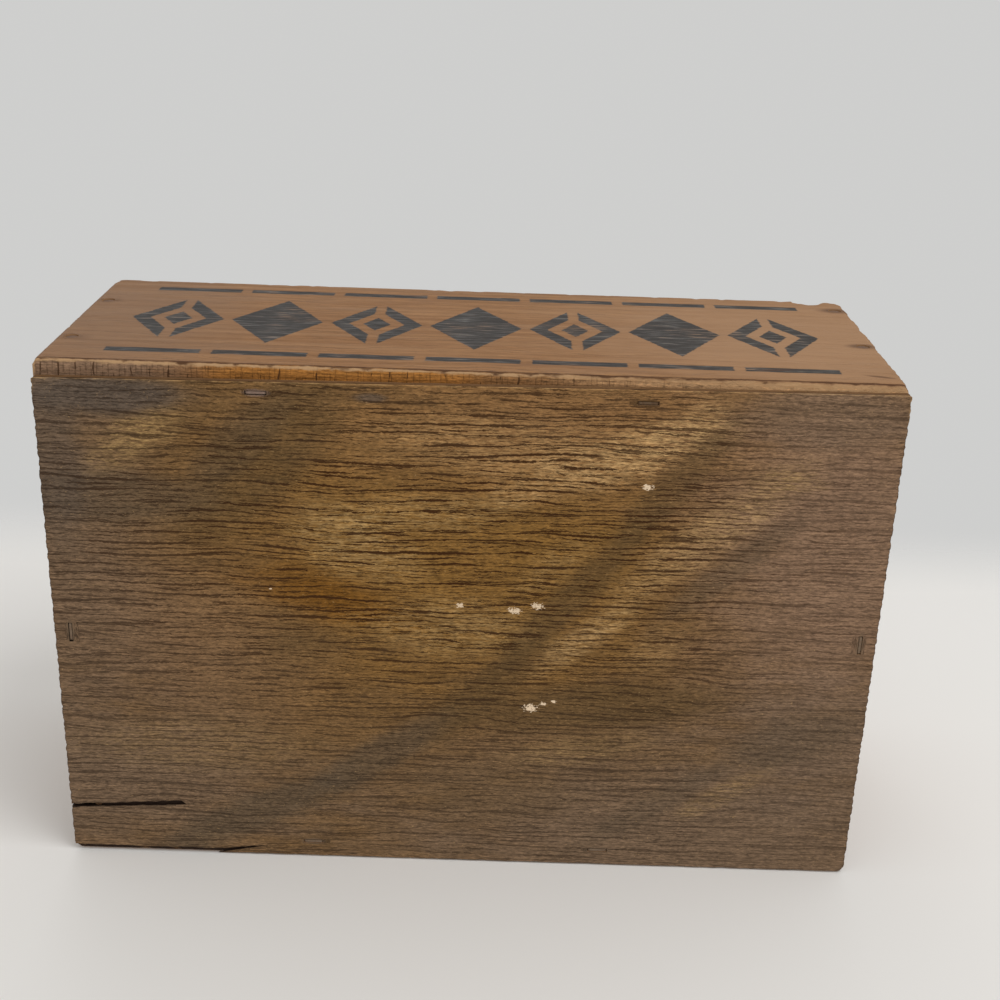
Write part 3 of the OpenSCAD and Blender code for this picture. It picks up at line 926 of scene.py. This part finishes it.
bold = sheet.group(SOFT_PATCH, {
    "Place": place, "Centre": (0.0, -30.0, 0.0), "Reach": (96.0, 50.0, ANY_DEPTH), "Turn": 0.0,
    "Ragged": ragged, "Soft": 0.7})["Mask"]
calm = sheet.ease(sheet.split(place)[0], 64.0, 100.0, 1.0, 0.7)
checks = figure["Checks"] * (0.62 + bold * 0.38) * calm
checks = sheet.math("MAXIMUM", checks, figure["Pores"] * 0.35)
colour = sheet.mix(checks * 0.95, colour, sheet.mix(bold, CRACK_GREY, CRACK_BROWN))
# Along the bottom's edges: paler at the front edge, darker at the other edges
worn = sheet.group(EDGE_WEAR, {"Place": grain, "Edge Gap": edge, "Width": 0.5})["Mask"]
front_edge = sheet.ease(sheet.split(place)[1], -70.0, -76.0)
colour = sheet.mix(worn * (1.0 - front_edge) * 0.5, colour, DARK_EDGE_BROWN)
colour = sheet.mix(worn * front_edge * veil * 0.5, colour, BRIGHT_TAN)
crumble = (sheet.noise(sheet.vector("DIVIDE", place, (0.75, 0.6, 0.6)), 3.0, 0.6) - 0.5) * 4.2
for x, y, size in FLECKS:
    mask = sheet.group(SOFT_PATCH, {
        "Place": place, "Centre": (x, y, 0.0), "Reach": (size, size * 0.6, ANY_DEPTH), "Turn": 0.0,
        "Ragged": crumble, "Soft": 0.25})["Mask"]
    colour = sheet.mix(mask, colour, PAINT_CREAM)
colour = lay_patches(sheet, colour, place, crumble * 0.22, STAPLE_MARKS, 0.3)
# Cut faces: near black towards the left end, and elsewhere, in the staple slots, crushed wood drawn
# lighter as painted light against their shade
torn = sheet.ease(sheet.split(place)[0], -54.0, -60.0)
colour = sheet.mix(skin, sheet.mix(torn, CRUSHED_AND_LIT_WOOD, OLD_DARK), colour)
height = 0.04 * figure["Bands"] - 0.2 * checks + 0.1 * figure["Fibres"]
finish_wood(sheet, shader, colour, height, sheet.ease(border, 0.3, 0.7, 0.86, 0.74))
print("weathered_veneer:", len(sheet.tree.nodes), "nodes")

# %% [markdown]
# The core of the plywood runs across, and only its rim and the floor of the split show. The inner
# veneer is cleaner, as nothing but straw and eggs lay on it. Both reuse the wood figure.

# %% The two other veneers
CORE_TAN = srgb(120, 88, 58)
CORE_DARK = srgb(70, 48, 30)
INNER_PALE = srgb(170, 136, 98)
INNER_TAN = srgb(142, 106, 70)
RIM_BROWN = srgb(116, 84, 54)
CORE_FACE = -0.7  # the core's outer side, black with dirt where the split lays it open


def veneer_finish(name, pale, dark, swap, grime_strength):
    """A plain veneer. swap turns its grain across the sheet."""
    material, sheet, shader = new_material(name)
    grain, edge, skin = read_attributes(sheet)
    if swap:
        x, y, z = sheet.split(grain)
        grain = sheet.join(y, x, z)
    figure = sheet.group(WOOD_FIGURE, {
        "Place": grain, "Band Length": 70.0, "Band Width": 6.0, "Fibre Length": 7.0,
        "Fibre Width": 0.5, "Check Length": 30.0, "Check Gap": 9.0, "Check Width": 0.3,
        "Pore Length": 14.0, "Pore Gap": 1.3, "Pore Size": 0.16, "Wander": 7.0})
    grime = sheet.noise(sheet.vector("DIVIDE", grain, (40.0, 24.0, 24.0)), 4.0, 0.6)
    colour = sheet.mix(sheet.ease(figure["Bands"], 0.32, 0.68), dark, pale)
    colour = sheet.mix(sheet.ease(grime, 0.48, 0.7) * grime_strength, colour, BOARD_GREY)
    colour = sheet.scale(colour, 1.0 + (figure["Fibres"] - 0.5) * 0.8)
    marks = sheet.math("MAXIMUM", figure["Pores"] * 0.5, figure["Checks"] * 0.6)
    colour = sheet.mix(marks, colour, CORE_DARK)
    colour = sheet.mix(sheet.ease(edge, 0.8, 0.4) * 0.8, colour, RIM_BROWN)
    if swap:
        colour = sheet.mix(sheet.ease(z, CORE_FACE + 0.25, CORE_FACE + 0.1), colour, OLD_DARK)
    colour = sheet.mix(skin, OLD_DARK, colour)
    height = 0.06 * figure["Fibres"] - 0.12 * marks
    finish_wood(sheet, shader, colour, height, sheet.ease(figure["Bands"], 0.2, 0.8, 0.85, 0.7))
    return material


core_veneer = veneer_finish("core_veneer", CORE_TAN, CORE_DARK, True, 0.4)
inner_veneer = veneer_finish("inner_veneer", INNER_PALE, INNER_TAN, False, 0.6)

# %% [markdown]
# ## The four boards
#
# The long boards run over the ends of the short ones. Each gets the same tree with its own size,
# seed and wear: the front has lost a chip from its rim, and its ends are wavy from a dull saw.

# %% The boards
CHIP_LENGTH = 9.0
CHIP_DEPTH = 2.6
CHIP_INSET = 13.0  # from the right end to the middle of the chip
HEAD_CRUSH = 0.03  # room round a nail head, where the wood is crushed


def draw_head_pockets(shape, side, facing):
    """Round pockets for the nail heads on one long side; facing is -1 at the front."""
    for node in NAILS:
        if side not in node:
            continue
        low, high = mm_box(node)
        middle = (low + high) / 2
        face = low.y if facing < 0 else high.y
        turn = Matrix.Rotation(math.radians(90.0), 4, "X")
        radius = (high.x - low.x) / 2 + HEAD_CRUSH
        place = Matrix.Translation((middle.x, face, middle.z)) @ turn
        bmesh.ops.create_cone(shape, cap_ends=True, segments=20, radius1=radius, radius2=radius,
                              depth=2.4, matrix=place)


def draw_front_gaps(shape):
    low, high = mm_box("front_board")
    draw_head_pockets(shape, "front", -1)
    chip = (high.x - CHIP_INSET, low.y + 0.5, high.z + 0.4)
    add_lump(shape, chip, (CHIP_LENGTH * 1.15, 12.0, CHIP_DEPTH * 4.2), 0.25, 4.0)


def draw_back_gaps(shape):
    draw_head_pockets(shape, "back", 1)


BOARD_WEAR = {
    "Margin": 5.0, "Margin Share": 0.12, "Arris": 0.9, "Rim": 1.4, "End Round": 0.01,
    "Corner Front": 0.01, "Corner Back": 0.01, "Lip Left": 0.01, "Lip Right": 0.01,
    "Relief": 0.14, "Nicks": 0.7, "Ragged Left": 0.4, "Ragged Right": 0.4, "Ragged Pitch": 9.0,
    "Skew": 0.0,
}


def make_board(name, node, slot, finish, turn, seed, steps, gaps=None, trim=0.0, **wear):
    """A worn board in place of a CAD board: turned in degrees, and shorter by trim at each end."""
    low, high = mm_box(node)
    size = high - low
    if turn in (90, -90):
        size = Vector((size.y, size.x, size.z))
    size.x -= 2 * trim
    values = {
        **BOARD_WEAR, **wear, "Size": size, "Centre": (low + high) / 2, "Turn": math.radians(turn),
        "Steps Long": steps[0], "Steps Thick": steps[1], "Steps High": steps[2],
        "Seed": seed, "Gaps": gaps, "Finish": finish}
    return make_piece(name, WORN_WOOD, values, [node])


front_gaps = cutter("front_gaps", draw_front_gaps)
back_gaps = cutter("back_gaps", draw_back_gaps)
make_board("front_board_wood", "front_board", "printed_board", printed_board, 0, 1.0, (190, 20, 84),
           front_gaps, **{"Arris": 0.8, "End Round": 4.5, "Corner Front": 2.8, "Lip Left": 1.1,
                          "Lip Right": 3.0, "Ragged Left": 0.15, "Ragged Right": 0.9,
                          "Ragged Pitch": 11.0})
make_board("back_board_wood", "back_board", "plain_board", plain_board, 180, 2.0, (190, 20, 84),
           back_gaps, **{"End Round": 3.0, "Corner Front": 2.0})
SNUG = {"Arris": 0.6, "Ragged Left": 0.12, "Ragged Right": 0.12}  # ends that butt on a long board
for side, turn, seed in (("left", -90, 3.0), ("right", 90, 4.0)):
    make_board(side + "_end_wood", side + "_end_board", "plain_board", plain_board, turn, seed,
               (120, 18, 84), **SNUG)

# %% [markdown]
# ## The plywood bottom
#
# Three thin sheets lie under the boards. The outer one has the split, the lost sliver and the
# staple slots. The core and the inner sheet are split only near the left end, as in the CAD part.
# The sheet's front edge is a little out of square, which the tree does with its Skew.

# %% The bottom's splits and slots
SPLIT_LENGTH = 38.0
SPLIT_WIDTH = 1.1
SPLIT_END_WIDTH = 1.5
SPLIT_INSET = 16.5  # from the back edge to the middle of the split's mouth
SPLIT_DRIFT = 2.5  # towards the front, over its length
SPLIT_THROUGH = 9.0  # where it goes right through the sheet
SLIVER_LENGTH = 47.0
SLIVER_WIDTH = 1.6
CRACK_LENGTH = 17.0
CRACK_DRIFT = 1.8
SLOT_ROOM = 0.01  # crushed wood round a staple
OVERCUT = 1.0
FIBRE_ROUGH = 0.35


def split_outline(length):
    low, high = mm_box("bottom_outer_veneer")
    mouth = high.y - SPLIT_INSET
    end = mouth - SPLIT_DRIFT * length / SPLIT_LENGTH
    return [
        (low.x - OVERCUT, mouth - SPLIT_WIDTH / 2),
        (low.x + length - SPLIT_END_WIDTH, end - SPLIT_END_WIDTH / 2),
        (low.x + length, end + SPLIT_END_WIDTH / 2),
        (low.x - OVERCUT, mouth + SPLIT_WIDTH / 2),
    ]


def draw_outer_gaps(shape):
    low, high = mm_box("bottom_outer_veneer")
    add_prism(shape, split_outline(SPLIT_LENGTH), low.z - OVERCUT, high.z + OVERCUT, FIBRE_ROUGH)
    inner = high.y - SLIVER_WIDTH
    end = low.x + SLIVER_LENGTH
    add_prism(shape, [
        (low.x - OVERCUT, inner), (end, inner), (end + CRACK_LENGTH, inner - CRACK_DRIFT),
        (end, high.y), (end, high.y + OVERCUT), (low.x - OVERCUT, high.y + OVERCUT),
    ], low.z - OVERCUT, high.z + OVERCUT, FIBRE_ROUGH)
    for node in STAPLES:
        least, most = mm_box(node)
        add_prism(shape, [
            (least.x - SLOT_ROOM, least.y - SLOT_ROOM), (most.x + SLOT_ROOM, least.y - SLOT_ROOM),
            (most.x + SLOT_ROOM, most.y + SLOT_ROOM), (least.x - SLOT_ROOM, most.y + SLOT_ROOM),
        ], low.z - OVERCUT, high.z + OVERCUT)


def draw_inner_gaps(shape):
    low = mm_box("bottom_core_veneer")[0]
    high = mm_box("bottom_inner_veneer")[1]
    add_prism(shape, split_outline(SPLIT_THROUGH), low.z - OVERCUT, high.z + OVERCUT, FIBRE_ROUGH)


# %% The three veneers
VENEER_WEAR = {
    "Margin": 4.0, "Margin Share": 0.12, "Arris": 0.3, "Rim": 0.3, "End Round": 0.01,
    "Corner Front": 0.8, "Corner Back": 2.6, "Lip Left": 0.01, "Lip Right": 0.01,
    "Relief": 0.09, "Nicks": 0.25, "Ragged Left": 0.45, "Ragged Right": 0.45, "Ragged Pitch": 2.4,
    "Skew": 3.0,
}
VENEER_TRIM = 0.3  # worn off each end of the bottom
outer_gaps = cutter("outer_gaps", draw_outer_gaps)
inner_gaps = cutter("inner_gaps", draw_inner_gaps)
make_board("outer_veneer_wood", "bottom_outer_veneer", "weathered_veneer", weathered_veneer, 0, 5.0,
           (96, 380, 4), outer_gaps, VENEER_TRIM, **VENEER_WEAR)
make_board("core_veneer_wood", "bottom_core_veneer", "core_veneer", core_veneer, 0, 6.0,
           (110, 150, 4), inner_gaps, VENEER_TRIM, **VENEER_WEAR)
make_board("inner_veneer_wood", "bottom_inner_veneer", "inner_veneer", inner_veneer, 0, 7.0,
           (110, 130, 4), inner_gaps, VENEER_TRIM, **VENEER_WEAR)

# %% [markdown]
# ## Nails
#
# Eight round-headed nails hold the corners. A nail is a profile turned round an axis: a line of
# points with a radius at each, swept with a circle. The tree puts one at each place that the CAD
# part names, turned to drive into the board, with dents that differ from head to head.

# %% The tree for fasteners
def hold(name, points, edges=(), **attributes):
    """A hidden object with points, edges and one number or direction at each point."""
    mesh = bpy.data.meshes.new(name)
    mesh.from_pydata(points, list(edges), [])
    for label, values in attributes.items():
        kind, key = ("FLOAT_VECTOR", "vector") if len(values[0]) == 3 else ("FLOAT", "value")
        stored = mesh.attributes.new(label, kind, "POINT")
        for item, value in zip(stored.data, values):
            setattr(item, key, value if key == "vector" else value[0])
    return bpy.data.objects.new(name, mesh)


def named_attribute(sheet, label, kind):
    return sheet.wire("GeometryNodeInputNamedAttribute", {"Name": label}, data_type=kind)


def finish_fasteners(sheet, given, result, one):
    """Puts one fastener at each place, dents them all, and ends the tree."""
    places = sheet.wire("GeometryNodeObjectInfo", {"Object": given["Places"]}, "Geometry")
    aim = sheet.wire("FunctionNodeAxesToRotation", {
        0: named_attribute(sheet, "aim", "FLOAT_VECTOR"),
        1: named_attribute(sheet, "across", "FLOAT_VECTOR")}, primary_axis="Z", secondary_axis="X")
    mesh = sheet.wire("GeometryNodeInstanceOnPoints", {
        "Points": places, "Instance": one, "Rotation": aim})
    mesh = sheet.wire("GeometryNodeRealizeInstances", {"Geometry": mesh})
    position = sheet.wire("GeometryNodeInputPosition")
    soil = sheet.vector("ADD", position, sheet.join(given["Seed"], 0.0, 0.0))
    dent = sheet.noise(soil, 3.0)
    normal = sheet.wire("GeometryNodeInputNormal")
    shift = sheet.scale(normal, 0.0 - dent * given["Dent"])
    mesh = sheet.wire("GeometryNodeSetPosition", {"Geometry": mesh, "Offset": shift})
    mesh = sheet.wire("GeometryNodeTransform", {"Geometry": mesh, "Scale": (MM, MM, MM)})
    mesh = sheet.wire("GeometryNodeSetShadeSmooth", {"Geometry": mesh, "Shade Smooth": True})
    mesh = sheet.wire("GeometryNodeSetMaterial", {"Geometry": mesh, "Material": given["Finish"]})
    sheet.feed(result.inputs["Mesh"], mesh)


def nail_tree():
    sheet, given, result = new_tree("corner_nails", "GeometryNodeTree", {
        "Places": "Object", "Profile": "Object", "Sides": "Int", "Dent": "Float", "Seed": "Float",
        "Finish": "Material"}, {"Mesh": "Geometry"})
    profile = sheet.wire("GeometryNodeObjectInfo", {"Object": given["Profile"]}, "Geometry")
    path = sheet.wire("GeometryNodeMeshToCurve", {"Mesh": profile})
    radius = named_attribute(sheet, "turned", "FLOAT")
    path = sheet.wire("GeometryNodeSetCurveRadius", {"Curve": path, "Radius": radius})
    circle = sheet.wire("GeometryNodeCurvePrimitiveCircle", {
        "Resolution": given["Sides"], "Radius": 1.0})
    one = sheet.wire("GeometryNodeCurveToMesh", {
        "Curve": path, "Profile Curve": circle, "Fill Caps": True, "Scale": radius})
    finish_fasteners(sheet, given, result, one)
    return sheet.tree


# %% Rust and steel
RUST_DARK = srgb(98, 72, 54)
RUST_RED = srgb(118, 86, 62)


def metal_finish(name, plain, rust, rust_share, metallic, patches=()):
    """Tarnished steel: rust spreads from a noise, and what is left stays metal."""
    material, sheet, shader = new_material(name)
    place = part_place(sheet)
    spread = sheet.noise(sheet.vector("DIVIDE", place, (1.4, 1.4, 1.4)), 5.0, 0.65)
    grit = sheet.noise(sheet.vector("DIVIDE", place, (0.35, 0.35, 0.35)), 2.0)
    rusted = sheet.ease(spread, 0.62 - rust_share * 0.4, 0.72 - rust_share * 0.4)
    tone = sheet.mix(sheet.ease(grit, 0.35, 0.7), RUST_DARK, rust)
    colour = lay_patches(sheet, sheet.mix(rusted, plain, tone), place, 0.0, patches)
    sheet.feed(shader.inputs["Metallic"], metallic * (1.0 - rusted))
    roughness = sheet.ease(rusted, 0.0, 1.0, 0.42, 0.85)
    join_finish(sheet, shader, colour, 0.06 * grit + 0.05 * rusted, roughness)
    return material


nail_steel = metal_finish("nail_steel", RUST_DARK, RUST_RED, 0.8, 0.4)
staple_steel = metal_finish("staple_steel", WIRE_BEIGE, RUST_RED, 0.4, 0.25,
                            staple_patches(0.7, 6.0, 4.0))

# %% The nails
NAIL_PROFILE = [  # depth below the top of the head, and radius
    (0.0, 0.25), (0.01, 0.9), (0.03, 1.5), (0.1, 1.92), (0.24, 2.07), (0.5, 2.1), (0.72, 1.98),
    (0.8, 1.6), (0.9, 1.05), (2.0, 1.0), (29.0, 1.0), (31.2, 0.4), (32.0, 0.1),
]
nail_places = []
nail_aims = []
for node in NAILS:
    low, high = mm_box(node)
    middle = (low + high) / 2
    front = "front" in node
    nail_places.append((middle.x, low.y if front else high.y, middle.z))
    nail_aims.append((0.0, 1.0 if front else -1.0, 0.0))
profile = hold("nail_profile", [(0.0, 0.0, depth) for depth, radius in NAIL_PROFILE],
               [(index, index + 1) for index in range(len(NAIL_PROFILE) - 1)],
               turned=[(radius,) for depth, radius in NAIL_PROFILE])
places = hold("nail_places", nail_places, aim=nail_aims, across=[(1.0, 0.0, 0.0)] * len(NAILS))
make_piece("corner_nails_rusty", nail_tree(), {
    "Places": places, "Profile": profile, "Sides": 24, "Dent": 0.12, "Seed": 3.0,
    "Finish": nail_steel}, NAILS)

# %% [markdown]
# ## Staples
#
# Six staples of flat wire hold the bottom. Each is a path of three straight runs with its corners
# rounded, swept with the wire's own section.

# %% The staples
CROWN = 6.35
LEG = 12.0
WIRE_WIDTH = 1.2
WIRE_THICKNESS = 0.9


def staple_tree():
    sheet, given, result = new_tree("bottom_staples", "GeometryNodeTree", {
        "Places": "Object", "Path": "Object", "Bend": "Float", "Wire Width": "Float",
        "Wire Thickness": "Float", "Wire Round": "Float", "Dent": "Float", "Seed": "Float",
        "Finish": "Material"}, {"Mesh": "Geometry"})
    path = sheet.wire("GeometryNodeObjectInfo", {"Object": given["Path"]}, "Geometry")
    path = sheet.wire("GeometryNodeMeshToCurve", {"Mesh": path})
    path = sheet.wire("GeometryNodeFilletCurve", {
        "Curve": path, "Radius": given["Bend"], "Count": 5, "Limit Radius": True}, mode="POLY")
    path = sheet.wire("GeometryNodeResampleCurve", {"Curve": path, "Length": 0.4}, mode="LENGTH")
    wire = sheet.wire("GeometryNodeCurvePrimitiveQuadrilateral", {
        "Width": given["Wire Width"], "Height": given["Wire Thickness"]})
    wire = sheet.wire("GeometryNodeFilletCurve", {
        "Curve": wire, "Radius": given["Wire Round"], "Count": 3, "Limit Radius": True}, mode="POLY")
    one = sheet.wire("GeometryNodeCurveToMesh", {
        "Curve": path, "Profile Curve": wire, "Fill Caps": True})
    finish_fasteners(sheet, given, result, one)
    return sheet.tree


staple_places = []
staple_crowns = []
for node in STAPLES:
    low, high = mm_box(node)
    middle = (low + high) / 2
    staple_places.append((middle.x, middle.y, low.z))
    staple_crowns.append((0.0, 1.0, 0.0) if high.y - low.y > high.x - low.x else (1.0, 0.0, 0.0))
reach = (CROWN - WIRE_THICKNESS) / 2
sunk = WIRE_THICKNESS / 2
path = hold("staple_path", [
    (-reach, 0.0, LEG), (-reach, 0.0, sunk), (reach, 0.0, sunk), (reach, 0.0, LEG),
], [(0, 1), (1, 2), (2, 3)])
places = hold("staple_places", staple_places, aim=[(0.0, 0.0, 1.0)] * len(STAPLES), across=staple_crowns)
make_piece("bottom_staples_wire", staple_tree(), {
    "Places": places, "Path": path, "Bend": 0.3, "Wire Width": WIRE_WIDTH,
    "Wire Thickness": WIRE_THICKNESS, "Wire Round": 0.12, "Dent": 0.05, "Seed": 8.0,
    "Finish": staple_steel}, STAPLES)

# %% [markdown]
# ## Stage, light and camera
#
# The crate stands upright in its frame, as it is used. In the photograph it was tipped onto its
# back board, so the camera's picture has the crate's front on top. The stage is two pale sheets:
# the ground under the crate, and the table that its back board lies on in the photograph. Each is
# seen only from its own side and fades into the pale background, so no view is blocked.

# %% The stage
STAGE_GAP = 0.4 * MM
STAGE_REACH = 1.6
FADE_START = 0.2
FADE_END = 0.9
TABLE_END = (0.2, 0.3)  # where the table stops and the room begins, above the crate's bottom


def pale_stage():
    material, sheet, shader = new_material("pale_stage")
    shader.inputs["Base Color"].default_value = (0.86, 0.842, 0.815, 1.0)
    shader.inputs["Roughness"].default_value = 0.9
    shader.inputs["Specular IOR Level"].default_value = DULL_GLOSS
    clear = sheet.wire("ShaderNodeBsdfTransparent")
    behind = sheet.wire("ShaderNodeNewGeometry", (), "Backfacing")
    place = sheet.wire("ShaderNodeTexCoord", (), "Object")
    far = sheet.ease(sheet.length(place), FADE_START, FADE_END)
    past = sheet.ease(sheet.split(place)[2], *TABLE_END)
    hidden = sheet.math("MAXIMUM", behind, sheet.math("MAXIMUM", far, past))
    shown = Wire(sheet, shader.outputs["BSDF"])
    both = sheet.wire("ShaderNodeMixShader", {0: hidden, 1: shown, 2: clear})
    output = next(node for node in sheet.tree.nodes if node.type == "OUTPUT_MATERIAL")
    sheet.feed(output.inputs["Surface"], both)
    return material


def add_stage(name, corners):
    mesh = bpy.data.meshes.new(name)
    mesh.from_pydata(corners, [], [range(len(corners))])
    mesh.materials.append(STAGE_MATERIAL)
    sheet = bpy.data.objects.new(name, mesh)
    bpy.context.scene.collection.objects.link(sheet)
    for kind in ("diffuse", "glossy", "transmission", "shadow"):
        setattr(sheet, "visible_" + kind, False)
    print(name, "faces", tuple(round(value) for value in mesh.polygons[0].normal))


STAGE_MATERIAL = pale_stage()
GROUND = CAD_BOX[0].z - STAGE_GAP
TABLE = CAD_BOX[1].y + STAGE_GAP
SQUARE = [(-STAGE_REACH, -STAGE_REACH), (STAGE_REACH, -STAGE_REACH),
          (STAGE_REACH, STAGE_REACH), (-STAGE_REACH, STAGE_REACH)]
add_stage("ground", [(a, b, GROUND) for a, b in SQUARE])
add_stage("table", [(a, TABLE, b) for a, b in SQUARE])

# %% The light
WORLD_TONE = (0.62, 0.62, 0.612, 1.0)


def soft_light(name, place, size, power):
    """A square area light that faces the middle of the crate and doesn't show itself."""
    light = bpy.data.lights.new(name, "AREA")
    light.size = size
    light.energy = power
    holder = bpy.data.objects.new(name, light)
    holder.location = place
    middle = (CAD_BOX[0] + CAD_BOX[1]) / 2
    holder.rotation_euler = (middle - Vector(place)).to_track_quat("-Z", "Y").to_euler()
    holder.visible_camera = False
    bpy.context.scene.collection.objects.link(holder)


world = bpy.data.worlds.new("pale_room")
world.use_nodes = True
world.node_tree.nodes["Background"].inputs["Color"].default_value = WORLD_TONE
bpy.context.scene.world = world
bpy.context.scene.view_settings.view_transform = "Standard"
soft_light("window_light", (0.42, -0.9, -0.3), 0.6, 4.0)
soft_light("ceiling_light", (-0.25, -0.15, 1.0), 0.8, 3.0)

# %% [markdown]
# The camera was found from the crate's corners in the photograph: how far it looks down, how it is
# turned and tilted, and where it stands. Those are easiest to read with the crate lying as it was
# photographed, so they are given that way and then turned into the crate's own frame.

# %% The camera
LOOK_DOWN = math.radians(22.361)
TURN_LEFT = math.radians(-0.224)
TILT = math.radians(-1.942)
CAMERA_PLACE = Vector((7.76, -206.87, -393.21)) * MM
FOCAL_PIXELS = 1438.8
IMAGE_PIXELS = 1000.0
SENSOR = 36.0


def stand_up(direction):
    """From the crate lying on its back board to the crate standing."""
    return Vector((direction.x, -direction.z, direction.y))


level_right = Vector((math.cos(TURN_LEFT), math.sin(TURN_LEFT), 0.0))
level_ahead = Vector((-math.sin(TURN_LEFT), math.cos(TURN_LEFT), 0.0))
upright = Vector((0.0, 0.0, 1.0))
ahead = level_ahead * math.cos(LOOK_DOWN) - upright * math.sin(LOOK_DOWN)
above = level_ahead * math.sin(LOOK_DOWN) + upright * math.cos(LOOK_DOWN)
right = level_right * math.cos(TILT) - above * math.sin(TILT)
above = level_right * math.sin(TILT) + above * math.cos(TILT)
axes = [stand_up(axis) for axis in (right, above, -ahead)]

camera_data = bpy.data.cameras.new("camera")
camera_data.sensor_width = SENSOR
camera_data.lens = FOCAL_PIXELS / IMAGE_PIXELS * SENSOR
camera_data.clip_start = 0.01
camera = bpy.data.objects.new("camera", camera_data)
camera.matrix_world = Matrix.Translation(CAMERA_PLACE) @ Matrix(axes).transposed().to_4x4()
bpy.context.scene.collection.objects.link(camera)
bpy.context.scene.camera = camera
print("lens", round(camera_data.lens, 2), "mm")
